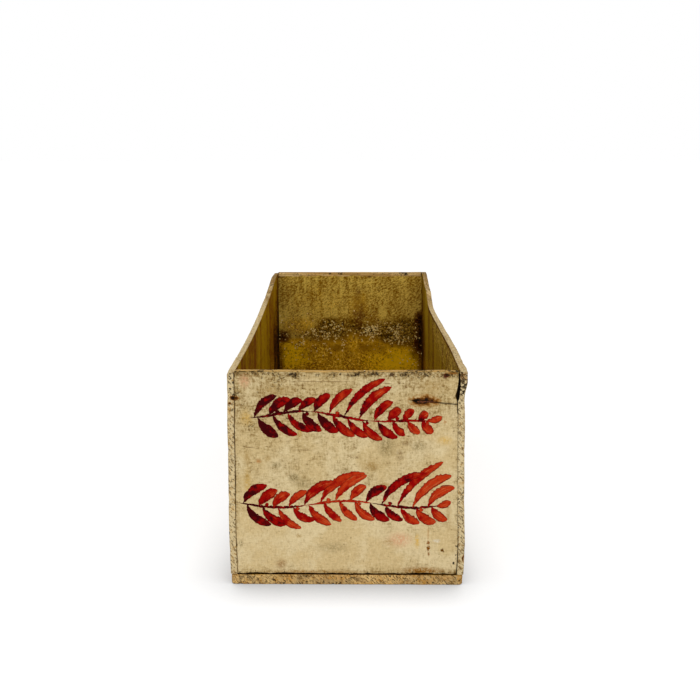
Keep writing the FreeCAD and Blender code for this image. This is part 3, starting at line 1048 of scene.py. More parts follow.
@dataclass(frozen=True)
class RustedIron(Finish):
    """Wire nails that have rusted through their scale."""

    scale: Rgb = (46, 30, 22)
    rust: Rgb = (128, 66, 28)
    pit: Rgb = (20, 12, 10)

    def surface(self, s: Sheet, place: Signal) -> Surface:
        """Patches of scale and rust with small pits.

        Args:
            s: The material's sheet.
            place: The place on the object in millimetres.

        Returns:
            The surface.
        """
        patches = s.noise(place, 1.4, 5.0, 0.7)
        pits = s.group(speck_group(), Place=place, Size=0.6, Amount=0.4)["Mask"]
        colour = s.mix(patches.ramp(0.42, 0.62), self.scale, self.rust).tint(pits * 0.6, self.pit)
        height = s.noise(place, 0.5, 3.0, 0.7) - pits * 0.5
        metal = patches.ramp(0.62, 0.4, 0.0, 0.5)
        return Surface(colour, patches.ramp(0.4, 0.6, 0.55, 0.9), height, 0.25, metal)


@dataclass(frozen=True)
class CakedPowder(Finish):
    """Crumbs of dried powder, some ochre, some brown and some chalky."""

    brown: Rgb = (84, 54, 8)
    ochre: Rgb = (206, 152, 34)
    chalk: Rgb = (255, 226, 146)
    shade: Rgb = (92, 64, 16)

    def surface(self, s: Sheet, place: Signal) -> Surface:
        """A kind for each crumb, darkened in its hollows.

        Args:
            s: The material's sheet.
            place: The place on the object in millimetres.

        Returns:
            The surface.
        """
        kinds = s.noise(place, 3.2, 1.0, 0.5) + (s.noise(place, 16.0, 2.0, 0.5) - 0.5)
        colour = s.mix(kinds.ramp(0.37, 0.43), self.brown, self.ochre)
        grit = s.noise(place, 0.4, 3.0, 0.7)
        colour = colour.tint(kinds.ramp(0.44, 0.5), self.chalk)
        colour = colour.tint(grit.ramp(0.6, 0.4, 0.0, 0.4), self.shade)
        return Surface(colour, grit.ramp(0.4, 0.6, 0.85, 1.0), grit, 0.2)


ALONG_X = (0.05, 1.0, 1.0)
ALONG_Y = (1.0, 0.05, 1.0)
ON_SIDE = (0.0, 1.0, 1.0)
ON_END = (1.0, 0.0, 1.0)
ON_BASE = (1.0, 1.0, 0.0)
LEFT_LOOK = WoodLook((232, 204, 148), (176, 138, 80), (174, 134, 1), (120, 62, 0), ALONG_Y, ON_SIDE, (
    Knot((0, -96, 62), 7.5), Knot((0, 138, 148), 5.0), Knot((0, 30, 118), 3.2)), bite=0.9)
RIGHT_LOOK = WoodLook((232, 204, 150), (180, 144, 88), (168, 134, 20), (112, 72, 2), ALONG_Y, ON_SIDE, (
    Knot((0, 84, 84), 8.0), Knot((0, -150, 130), 4.2), Knot((0, 190, 46), 3.4)), bite=1.1)
BACK_LOOK = WoodLook((236, 202, 136), (176, 134, 70), (221, 186, 82), (132, 90, 1), ALONG_X, ON_END, (
    Knot((-38, 0, 66), 6.0), Knot((52, 0, 150), 4.4)), sawn=True)
FRONT_LOOK = WoodLook((206, 180, 128), (152, 118, 66), (132, 100, 24), (96, 64, 10), ALONG_X, ON_END)
BASE_LOOK = WoodLook((232, 192, 120), (176, 128, 62), (150, 112, 20), (104, 72, 8), ALONG_Y, ON_BASE, (
    Knot((-34, 70, 0), 6.5), Knot((20, -150, 0), 4.0)), drag=(1.0, 1.0, 1.0))


# Nails

WALL_NAIL = 40.0
BASE_NAIL = 28.0
STRAY_DRIFT = 2.5  # how far the stray nail runs towards the front over its length
NAIL_APPROACH = 0.02  # metres outside its board from which a nail is dropped on to it


class Way(Enum):
    """Direction in which a nail is driven."""

    RIGHT = (1, 0, 0)
    LEFT = (-1, 0, 0)
    UP = (0, 0, 1)


@dataclass(frozen=True)
class NailRow:
    """A row of like nails that stands for one node of solids. Skew turns it about Z, in radians."""

    node: str
    way: Way
    count: int = 1
    length: float = WALL_NAIL
    skew: float = 0.0
    head: float = 2.0
    cap: float = 0.8
    shank: float = 0.9
    tip: float = 3.0
    sides: int = 14
    spread: float = 0.12

    def heads(self) -> Array:
        """Middles of the head faces in millimetres, from the node's own box.

        Returns:
            One row for each nail.
        """
        low, high = box_mm(self.node)
        way = np.array(self.way.value, float)
        start = np.where(way > 0, low, np.where(way < 0, high, (low + high) / 2))
        run = (high - low) * (1 - np.abs(way))
        row = int(np.argmax(run))
        places = np.repeat(start[None, :], self.count, axis=0)
        if self.count > 1:
            places[:, row] += np.linspace(-1, 1, self.count) * (run[row] / 2 - self.head)
        return places

    def template(self, material: bpy.types.Material) -> bpy.types.Object:
        """One nail turned on a lathe, with its head's face at the origin and its point up Z.

        Args:
            material: Its finish.

        Returns:
            The nail, in the scene.
        """
        stations = [
            (0.0, 0.55 * self.head), (0.02, 0.85 * self.head), (0.18, self.head), (0.6 * self.cap, self.head),
            (self.cap, 0.9 * self.head), (1.4 * self.cap, self.shank), (self.length - self.tip, self.shank),
            (self.length - 0.15, 0.15 * self.shank),
        ]
        turn = np.linspace(0, 2 * np.pi, self.sides, endpoint=False)
        points = [(0.0, 0.0, 0.05)]
        for number, (up, radius) in enumerate(stations):
            dent = 1 + 0.06 * np.sin(3 * turn + number) * (radius > self.shank)
            points += [(radius * d * math.cos(a), radius * d * math.sin(a), up) for a, d in zip(turn, dent)]
        points.append((0.0, 0.0, self.length))
        around = [(i, (i + 1) % self.sides) for i in range(self.sides)]
        last = len(points) - 1
        faces: list[tuple[int, ...]] = [(0, 1 + after, 1 + i) for i, after in around]
        for low in range(1, last - self.sides, self.sides):
            high = low + self.sides
            faces += [(low + i, low + after, high + after, high + i) for i, after in around]
        faces += [(last - self.sides + i, last - self.sides + after, last) for i, after in around]
        return make_piece("nail_template", np.array(points), faces, {}, material)

    def turn(self) -> list[float]:
        """Euler turn that brings the template's point round to the nail's direction.

        Returns:
            Its three angles in radians.
        """
        way = Vector(self.way.value)
        way.rotate(Matrix.Rotation(self.skew, 3, "Z"))
        return list(way.to_track_quat("Z", "Y").to_euler())


NAIL_ROWS = {
    "left_side": (NailRow("front_left_nails", Way.RIGHT, 4), NailRow("back_left_nails", Way.RIGHT, 4)),
    "right_side": (
        NailRow("front_right_nails", Way.LEFT, 3), NailRow("back_right_nails", Way.LEFT, 4),
        NailRow("stray_nail", Way.LEFT, skew=math.asin(STRAY_DRIFT / WALL_NAIL)),
        NailRow("top_edge_nail", Way.LEFT)),
    "wide_base_plank": (
        NailRow("base_left_nails", Way.UP, 6, BASE_NAIL), NailRow("base_front_nails", Way.UP, 2, BASE_NAIL),
        NailRow("base_back_nails", Way.UP, 2, BASE_NAIL)),
    "narrow_base_plank": (NailRow("base_right_nails", Way.UP, 6, BASE_NAIL),),
}


@functools.cache
def heads_on(board: str) -> tuple[Array, ...]:
    """Middles of all the nail heads that lie on one board, in millimetres."""
    return tuple(head for row in NAIL_ROWS.get(board, ()) for head in row.heads())


@functools.cache
def nail_row_tree() -> bpy.types.NodeTree:
    """Geometry nodes that set a row of nails on a board's own surface.

    Returns:
        The group.
    """
    s = GroupSheet("nail_row", dict(
        Nail=OBJECT, Board=OBJECT, Count=WHOLE, Start=VECTOR, Step=VECTOR, Heading=VECTOR, Turn=VECTOR,
        Spread=NUMBER, Seed=WHOLE, Finish=FINISH), dict(Row=SHAPE), "GeometryNodeTree")
    nail, board = (s.node("GeometryNodeObjectInfo", {"Object": s[k]})["Geometry"] for k in ("Nail", "Board"))
    line = s.node("GeometryNodeMeshLine", {
        "Count": s["Count"], "Start Location": s["Start"], "Offset": s["Step"]})
    outside = s.node("GeometryNodeInputPosition", {})[0] + s["Heading"] * -NAIL_APPROACH
    cast = s.node("GeometryNodeRaycast", {
        "Target Geometry": board, "Source Position": outside, "Ray Direction": s["Heading"],
        "Ray Length": 2 * NAIL_APPROACH})
    place = s.node("GeometryNodeSetPosition", {
        "Geometry": line["Mesh"], "Selection": cast["Is Hit"], "Position": cast["Hit Position"]})
    roll = s.node("FunctionNodeRandomValue", {"Max": (0.0, 0.0, 2 * math.pi), "Seed": s["Seed"]},
                  data_type="FLOAT_VECTOR")[0]
    rolled = s.node("FunctionNodeRotateEuler", {"Rotation": s["Turn"], "Rotate By": roll}, space="LOCAL")[0]
    size = s.node("FunctionNodeRandomValue", {2: 1.0 - s["Spread"], 3: 1.0, "Seed": s["Seed"]})[1]
    driven = s.node("GeometryNodeInstanceOnPoints", {
        "Points": place["Geometry"], "Instance": nail, "Rotation": rolled, "Scale": s.join(size, size, 1.0)})
    return s.give(Row=s.real(driven[0]))


def build_nails(boards: Pieces) -> None:
    """Drives every row into the boards.

    Args:
        boards: The boards by their nodes' names.
    """
    iron = RustedIron("rusted_nail_iron", 0.3).material()
    for number, (board, row) in enumerate((b, r) for b, rows in NAIL_ROWS.items() for r in rows):
        template = row.template(iron)
        heads = row.heads() * MM
        step = (heads[-1] - heads[0]) / max(1, row.count - 1)
        made = grow(row.node + "_driven", nail_row_tree(), {
            "Nail": template, "Board": boards[board], "Count": row.count, "Start": list(heads[0]),
            "Step": list(step), "Heading": list(map(float, row.way.value)), "Turn": row.turn(),
            "Spread": row.spread, "Seed": number, "Finish": iron,
        })
        bpy.data.objects.remove(template)
        made.data.shade_smooth()
        settle(made, "rusted_nails", row.node)


# Boards

@dataclass(frozen=True)
class Skin:
    """A board's surface in millimetres: its points, their normals, its solid's box and its seed."""

    points: Array
    normals: Array
    low: Array
    high: Array
    seed: int

    def rough(self, size: float | Sequence[float], number: int, axes: str = "xyz", layers: int = 4) -> Array:
        """Rough noise of the board's own, one for each number, that changes along the named axes only."""
        return rough_noise(self.points * [axis in axes for axis in "xyz"], size, self.seed + number, layers)

    def patches(self, size: float | Sequence[float], number: int, low: float, high: float,
                axes: str = "xyz") -> Array:
        """Patches of rough noise, 0 where the noise is at low and 1 where it is at high."""
        return ease(self.rough(size, number, axes), low, high)

    def faces(self, axis: int, way: int) -> Array:
        """How squarely each point faces up or down an axis, from 0 to 1."""
        return np.clip(way * self.normals[:, axis], 0, 1)

    def spot(self, x: float, z: float, across: float, up: float) -> Array:
        """Soft oval seen from the front, 1 in the middle and 0 from its edge outwards."""
        return ease(np.hypot((self.points[:, 0] - x) / across, (self.points[:, 2] - z) / up), 1.0, 0.25)


class Side(Enum):
    """Side of the bin, as the sign of its place along X."""

    LEFT = -1
    RIGHT = 1


@dataclass(frozen=True)
class Flare:
    """How far a side board leans in, in millimetres at each height, at both ends."""

    front: Knots
    back: Knots
    splay: float = 0.0

    def lean(self, y: Array, z: Array) -> Array:
        """Distance by which the side stands further in than its foot.

        Args:
            y: Places along the bin.
            z: Heights.

        Returns:
            The distance at each place.
        """
        low, high = box_mm("left_side")
        back = np.clip((y - low[1]) / (high[1] - low[1]), 0, 1)
        lean = (1 - back) * curve_through(self.front, z) + back * curve_through(self.back, z)
        return lean - self.splay * ease(z, 164, 182) * ease(y, low[1] + 210, low[1])


FLARES = {
    Side.LEFT: Flare(((9, 0.9), (22, 0.6), (42, 0.25), (60, 0.2), (95, 0.6), (118, 0.85), (143, 0.9),
                      (160, 1.35), (186, 1.35), (215, 1.5)), ((9, 0.3), (95, 0.3), (176, 0.1), (215, 0.05))),
    Side.RIGHT: Flare(((9, 0.8), (20, 0.4), (37, 0.1), (60, 1.0), (95, 1.85), (120, 2.4), (145, 2.6),
                       (166, 3.4), (215, 3.3)), ((9, 0.3), (95, 1.0), (176, 2.3), (215, 2.7)), 1.5),
}


def fitted(skin: Skin, side: Side, gap: Array | float, run: float) -> Array:
    """Shift along X that carries a cross board's end to a side board's inner face.

    Args:
        skin: The cross board.
        side: The side board.
        gap: What is left open between them.
        run: Length of the board over which the shift fades out.

    Returns:
        The shift of each point.
    """
    x, y, z = skin.points.T
    low, high = box_mm("left_side")
    inner = side.value * (abs(low[0]) - (high[0] - low[0]) - FLARES[side].lean(y, z))
    end = (skin.low if side is Side.LEFT else skin.high)[0]
    return (inner - side.value * gap - end) * ease(x, end - side.value * run, end)


@dataclass
class Board:
    """A board with worn arrises, cut into a fine grid.

    The sizes come from the board's own solid. The steps, radii and depths are in millimetres.
    """

    node: str
    slot: str
    finish: bpy.types.Material
    inward: tuple[int, int, int]
    grain_axis: int
    seed: int
    step: Triple
    edge_step: float = 0.5
    edge_band: float = 3.0
    arris: float = 0.55
    hollow: float = 0.15
    ridge: float = 0.1
    spare_masks: tuple[str, ...] = (
        "gap_shade", "dust", "crust", "soot_and_shade", "bloom", "caked", "painted", "grime", "soil")

    def bands(self, axis: int) -> list[Triple]:
        """Stretches along an axis with closer grid lines, each with its step."""
        low, high = (corner[axis] for corner in box_mm(self.node))
        return [(low, low + self.edge_band, self.edge_step), (high - self.edge_band, high, self.edge_step)]

    def radius(self, skin: Skin) -> Array:
        """Radius of the worn arris nearest to each point of the straight block."""
        return self.arris * (1 + 0.9 * skin.rough(9.0, 5))

    def bend(self, skin: Skin) -> Array:
        """Points of the straight block, moved to the board's real outline."""
        return skin.points

    def carve(self, skin: Skin) -> Array:
        """Depth of cracks, chips and bruises below each point, in millimetres."""
        away = [np.linalg.norm(skin.points - head, axis=1) for head in heads_on(self.node)]
        return sum((0.35 * ease(distance, 6.5, 2.0) for distance in away), np.zeros(len(skin.points)))

    def masks(self, skin: Skin) -> dict[str, Array]:
        """Masks for the finish, besides those that every board has."""
        return {}

    def rusting(self, skin: Skin) -> Array:
        """Rust round the nail heads on the outer face.

        Args:
            skin: The board's surface.

        Returns:
            A mask that is strongest at a head.
        """
        rust = np.zeros(len(skin.points))
        for head in heads_on(self.node):
            away = skin.points - head
            away[:, 2] *= np.where(away[:, 2] < 0, 0.6, 1.0)
            luck = hashed(np.round(head)[None, :], self.seed)[0]
            near = ease(np.linalg.norm(away, axis=1), 4.5 + 5.0 * luck, 0.5)
            rust = np.maximum(rust, (0.7 + 0.35 * luck) * near)
        return rust * ease(skin.normals @ np.array(self.inward, float), -0.5, -0.9)

    def build(self) -> bpy.types.Object:
        """Makes the board and puts it in place of its solid.

        Returns:
            The board.
        """
        low, high = box_mm(self.node)
        lines = [grid_lines(low[a], high[a], self.step[a], self.bands(a)) for a in range(3)]
        block, quads = block_surface(lines)
        skin = Skin(block, block, low, high, self.seed)
        radius = np.clip(self.radius(skin), 0.25, 0.45 * (high - low).min())[:, None]
        core = np.clip(block, low + radius, high - radius)
        normals = (block - core) / np.linalg.norm(block - core, axis=1)[:, None]
        skin = replace(skin, points=core + normals * radius, normals=normals)
        skin = replace(skin, points=self.bend(skin))
        stretch = np.ones(3)
        stretch[self.grain_axis] = 12.0
        depth = self.hollow * (0.5 + skin.rough(38.0, 0))
        depth += self.ridge * (0.5 + skin.rough(2.6 * stretch, 9, layers=3))
        masks = {
            "arris": np.sort(np.minimum(block - low, high - block), axis=1)[:, 1],
            "inside": np.clip(normals @ np.array(self.inward, float), 0, 1),
            "endgrain": np.clip(np.abs(normals[:, self.grain_axis]) * 1.5 - 0.5, 0, 1),
            "rust": self.rusting(skin),
            **{name: np.zeros(len(block)) for name in self.spare_masks},
            **self.masks(skin),
        }
        points = skin.points - normals * (np.clip(depth, 0.02, None) + self.carve(skin))[:, None]
        made = make_piece(self.node + "_worn", points, quads.tolist(), masks, self.finish)
        return settle(made, self.slot, self.node)


@dataclass
class SideBoard(Board):
    """One of the two long sides, with its own top line."""

    side: Side = Side.LEFT
    top: Knots = ()
    torn: float = 1.3
    bulge: float = 1.3
    bulge_run: float = 28.0

    def bend(self, skin: Skin) -> Array:
        """Pulls the top down to its line, leans the board in and bends the broken corner of the right one.

        Args:
            skin: The board's surface.

        Returns:
            The moved points.
        """
        x, y, z = skin.points.T
        low, high = skin.low, skin.high
        z = low[2] + (z - low[2]) / (high[2] - low[2]) * (curve_through(self.top, y) - low[2])
        if self.side is Side.RIGHT:
            outer = (x - low[0]) / (high[0] - low[0])
            torn = ease(z, 163.5, 166) * ease(z, 188, 172) * ease(y, low[1] + 10, low[1] + 6)
            x = x + self.torn * torn * (1 - outer)
            x = x + self.bulge * outer * ease(z, 168, 182) * ease(y, low[1] + self.bulge_run, low[1])
        return np.stack([x - self.side.value * FLARES[self.side].lean(y, z), y, z], axis=1)

    def radius(self, skin: Skin) -> Array:
        """Softer arrises near the front's top corner and, on the left, at the rear.

        Args:
            skin: The board's surface.

        Returns:
            The radius at each point.
        """
        x, y, z = skin.points.T
        front, crown = skin.low[1], ease(z, skin.high[2] - 30, skin.high[2])
        joint = ease(y, front + 3, front + 1) * ease(self.side.value * x, 98, 97)
        rear = ease(y, 200, 240) * crown * ease(self.side.value * x, 96, 98) * (self.side is Side.LEFT)
        corner = ease(y, front + 16, front) * crown
        return super().radius(skin) * (1 - 0.7 * joint) + 1.6 * corner * (1 - joint) + 1.8 * rear

    def carve(self, skin: Skin) -> Array:
        """Adds a scatter of nicks along the top, and a hole in the right board's front end.

        Args:
            skin: The board's surface.

        Returns:
            The depth below each point.
        """
        top = curve_through(self.top, skin.points[:, 1])
        near = ease(skin.points[:, 2], top - 5, top)
        depth = super().carve(skin) + 0.7 * near * skin.patches((5.0, 6.0, 5.0), 40, 0.28, 0.5)
        if self.side is Side.RIGHT:
            depth += 1.6 * skin.faces(1, -1) * skin.spot(100.2, 24.0, 2.2, 4.2)
        return depth

    def masks(self, skin: Skin) -> dict[str, Array]:
        """Powder on the inner face, soot with painted shade at the back corner and along the right board's
        inner top, painted shade in the front joint, and paint on the front end.

        Args:
            skin: The board's surface.

        Returns:
            The masks by name.
        """
        x, y, z = skin.points.T
        front = skin.low[1]
        left = self.side is Side.LEFT
        top = curve_through(self.top, y)
        front_end, up = skin.faces(1, -1), skin.faces(2, 1)
        level = np.interp(y, (front, skin.high[1]), (96, 120)) + 10 * skin.rough(60.0, 3, "y")
        bloom = ease(z, top - 60, top - 4) * ease(y, 170, -20) * (0.3 if left else 0.85)
        streak = ease(skin.rough((9.0, 56.0, 300.0), 8, layers=3), 0.0, 0.6)
        # Soot with painted shade: darker towards the back corner and up the wall, more on the left, with dark
        # streaks.
        soot_and_shade = 0.7 * ease(y, 110, 220) * ease(z, 205, 120) + 0.5 * ease(y, 185, 236)
        soot_and_shade *= 1.1 if left else 0.7
        soot_and_shade += (0.4 if left else 0.3) * streak * ease(z, 186, 140) * ease(y, -170, 60)
        edge = np.minimum(x - x.min(), x.max() - x)
        grime = 0.25 + (0.35 if left else 0.9) * ease(z, 164, 174) + 0.3 * ease(edge, 1.6, 0.3)
        over = ease(y + 5 * skin.rough(9.0, 6), front + 7, front + 2)
        rust = self.rusting(skin)
        if left:
            rim = up * (0.28 + 0.36 * ease(y, 40, 150))
            rubbed = up * ease(y, 110, 40)
            rust = strongest(rust, front_end * 1.25 * skin.spot(-94.3, 165.8, 4.6, 2.5),
                             front_end * 0.9 * skin.spot(-97.6, 161.5, 2.0, 1.6))
        else:
            rim = up * np.where(y > 150, 0.5, 0.36)
            rubbed = up * ease(y, 150, 70)
            rust = strongest(rust, 0.26 * front_end * ease(z, 172, 184),
                             front_end * skin.spot(100.2, 24.0, 2.6, 4.6))
            # Painted shade line along the inner face just under the right board's top.
            soot_and_shade = soot_and_shade + 0.8 * ease(z, top - 4.0, top - 1.5) * ease(y, 150, 80)
        within = ease(skin.normals @ np.array(self.inward, float), 0.4, 0.8) * ease(z, 187.6, 186.4)
        return {
            "dust": 0.6 * ease(z, level + 24, level - 26),
            "bloom": bloom,
            "soot_and_shade": np.clip(soot_and_shade * (1 - 0.5 * bloom), 0, 1),
            "painted": strongest(front_end * 0.9, over * 0.9, (0.8 if left else 0.6) * rubbed),
            "grime": np.maximum(grime * front_end, rim),
            "rust": rust,
            "soil": 0.5 * ease(z, 46, 10) + 0.3 * ease(z, top - 22, top) - 1.2 * rubbed,
            # Painted shade on the inner face where it meets the front board's end.
            "gap_shade": (0.3 if left else 1.0) * within * ease(y, front + (9 if left else 20), front + 7.6),
        }


@dataclass
class FrontBoard(Board):
    """The painted front, with a split that a stray nail has opened.

    A chip, a nick and a rust spot are each a middle and two half sizes, seen from the front.
    """

    split: Knots = ((50.9, 163.9), (64.8, 163.3), (77.3, 162.1), (91.1, 160.8), (96.0, 160.4))
    split_width: float = 0.5
    split_depth: float = 1.6
    chip: tuple[float, ...] = (61.5, 161.3, 7.5, 2.6)
    nicks: tuple[tuple[float, ...], ...] = (
        (37.1, 186.4, 2.3, 2.2), (-7.7, 187.8, 5.2, 1.0), (-11.0, 185.1, 0.9, 0.9), (-42.5, 185.6, 0.8, 2.6),
        (43.4, 178.8, 0.9, 1.3), (48.8, 175.4, 1.0, 1.3))
    close_gap: float = 0.06
    broken_gap: Knots = ((9, 0.2), (160, 0.2), (164, 0.4), (167, 1.3), (170, 1.6), (173, 1.1), (178, 0.6),
                         (183, 0.6), (188, 0.9))
    foot_gap: Knots = ((-95, 1.0), (-60, 0.95), (-20, 0.85), (40, 0.85), (74, 1.0), (95, 0.95))
    rise: Knots = ((-95, 0.9), (-70, 1.0), (-30, 0.6), (20, 0.5), (60, 0.8), (95, 1.0))
    set_back: float = 0.35
    powder_line: float = 142.0

    def bands(self, axis: int) -> list[Triple]:
        """Adds closer lines at the split and at the top."""
        extra = {0: [(52.0, 70.0, 0.7)], 1: [], 2: [(158.5, 165.5, 0.35), (183.0, 188.0, 0.5)]}
        return super().bands(axis) + extra[axis]

    def bend(self, skin: Skin) -> Array:
        """Fits the ends between the leaning sides and lifts the foot a hair off the base.

        Args:
            skin: The board's surface.

        Returns:
            The moved points.
        """
        x, y, z = skin.points.T
        moved = x.copy()
        for side, gap in ((Side.LEFT, self.close_gap), (Side.RIGHT, curve_through(self.broken_gap, z))):
            ragged = gap * (1 + 0.6 * skin.rough(4.0, 2, "yz")) + 0.3 * skin.patches(3.0, 41, 0.15, 0.4, "yz")
            moved += fitted(skin, side, ragged, 30)
        foot = curve_through(self.foot_gap, x) * (1 + 0.8 * skin.rough(6.0, 4, "x"))
        rise = curve_through(self.rise, x) * ease(z, skin.high[2] - 20, skin.high[2])
        set_back = self.set_back * ease(y, skin.low[1] + 4, skin.low[1])
        raised = z + rise + foot * ease(z, skin.low[2] + 8, skin.low[2])
        return np.stack([moved, y + set_back, raised], axis=1)

    def radius(self, skin: Skin) -> Array:
        """A softer, more broken arris along the top.

        Args:
            skin: The board's surface.

        Returns:
            The radius at each point.
        """
        top = ease(skin.points[:, 2], skin.high[2] - 8, skin.high[2] - 2)
        joint = ease(np.abs(skin.points[:, 0]), skin.high[0] - 4, skin.high[0] - 2) * (1 - top)
        broken = skin.patches((6.0, 9.0, 9.0), 12, 0.2, 0.5)
        return super().radius(skin) * (0.6 + 1.5 * top - 0.4 * joint) + 1.2 * top * broken

    def split_line(self, skin: Skin) -> tuple[Array, Array]:
        """Distance of each point from the split, and how open the split is there.

        Args:
            skin: The board's surface.

        Returns:
            The distance, and the opening from 0 to 1.
        """
        x, _, z = skin.points.T
        line = np.interp(x, *np.array(self.split).T) + 0.35 * skin.rough(4.0, 21, "x")
        opened = ease(x, self.split[0][0] - 1.5, self.split[0][0] + 6)
        return np.abs(z - line), opened * (0.85 + 0.15 * np.sign(skin.rough(3.0, 22, "x", 1)))

    def carve(self, skin: Skin) -> Array:
        """Cuts the split, the chipped place over the stray nail and the nicks in the top arris.

        Args:
            skin: The board's surface.

        Returns:
            The depth below each point.
        """
        away, opened = self.split_line(skin)
        split = self.split_depth * opened * ease(away, self.split_width, 0.1)
        chipped = skin.spot(*self.chip) * skin.patches(2.4, 33, -0.25, 0.2) * (1 + 0.4 * skin.rough(1.6, 23))
        depth = strongest(split, chipped, *(0.8 * skin.spot(*nick) for nick in self.nicks))
        return super().carve(skin) + skin.faces(1, -1) * (depth + 0.12 * skin.patches(7.0, 24, 0.42, 0.6))

    def masks(self, skin: Skin) -> dict[str, Array]:
        """Rust and painted shade in the split, on the underside and on the ends in the joints, grime at the
        joints and powder on the inner face.

        Args:
            skin: The board's surface.

        Returns:
            The masks by name.
        """
        x, _, z = skin.points.T
        front, inner, up = skin.faces(1, -1), skin.faces(1, 1), ease(skin.normals[:, 2], 0.35, 0.8)
        away, opened = self.split_line(skin)
        rust = strongest(
            skin.spot(63.6, 163.8, 20.0, 8.0) * (0.72 + 0.9 * skin.rough((4.4, 3.0, 2.2), 35)),
            0.9 * skin.spot(61.5, 161.7, 11.0, 2.4), 0.9 * skin.spot(-92.6, 165.8, 4.4, 2.6),
            0.45 * skin.spot(86.0, 187.3, 8.0, 1.8))
        wide = 0.8 + 1.5 * skin.spot(61.0, 163.0, 11.0, 9.0) * (0.5 + skin.rough(2.6, 34, "x"))
        dotted = 0.3 + 0.3 * np.sign(x) + 0.4 * skin.patches(3.0, 44, -0.2, 0.2, "yz")
        # Painted shade: dark in the open split, on the downward faces and, dotted, on the end faces in the
        # joints.
        gap_shade = strongest(
            front * opened * ease(away, wide, 0.5 * wide), 0.85 * ease(-skin.normals[:, 2], 0.6, 0.85),
            dotted * ease(np.abs(skin.normals[:, 0]), 0.8, 0.95))
        edge_x = np.minimum(x + 94.5, 94.0 - x)
        along = skin.patches((11.0, 9.0, 9.0), 30, -0.2, 0.35)
        grime = 0.2 * ease(edge_x, 5, 0.5) + 0.3 * ease(94.0 - x, 2.2, 0.6) + 0.3 * ease(z, 17, 10.5)
        grime += 0.8 * ease(z, 183.0, 186.5) * along
        grime += 1.4 * ease(np.abs(z - 185.6), 2.0, 0.6) * skin.patches((5.0, 9.0, 4.0), 45, 0.0, 0.25)
        soil = 0.3 * ease(z, 50, 95) + 0.24 * ease(z, 118, 172) + 0.25 * ease(z, 24, 10)
        soil += 0.25 * ease(x, 0, 60) * ease(z, 95, 50) + 0.2 * ease(edge_x, 6, 0)
        soil += 0.1 * skin.spot(-75, 160, 60, 46) + 0.35 * ease(z, 14.5, 10.5)
        soil += (0.3 + 0.4 * along) * ease(z, 180.5, 185.5) - 0.2 * skin.spot(88, 100, 22, 60)
        soil -= 0.2 * ease(np.abs(z - 34), 26, 6)
        level = self.powder_line + 12 * skin.rough(50.0, 3, "x")
        line = ease(np.abs(z - level - 6), 12, 2) * inner
        return {
            "rust": rust * np.maximum(front, ease(z, 184, 187)),
            "gap_shade": np.clip(gap_shade, 0, 1),
            "grime": np.clip(grime, 0, 1) * front + (0.4 + 0.5 * along) * up,
            "soil": soil,
            "painted": 1 - up,
            "dust": 0.95 * ease(z, level + 8, level - 12) * inner,
            "crust": 0.9 * line,
            "caked": 0.6 * line,
            "soot_and_shade": 0.8 * ease(np.abs(x), 84, 95) * inner * ease(z, 160, 120),
        }


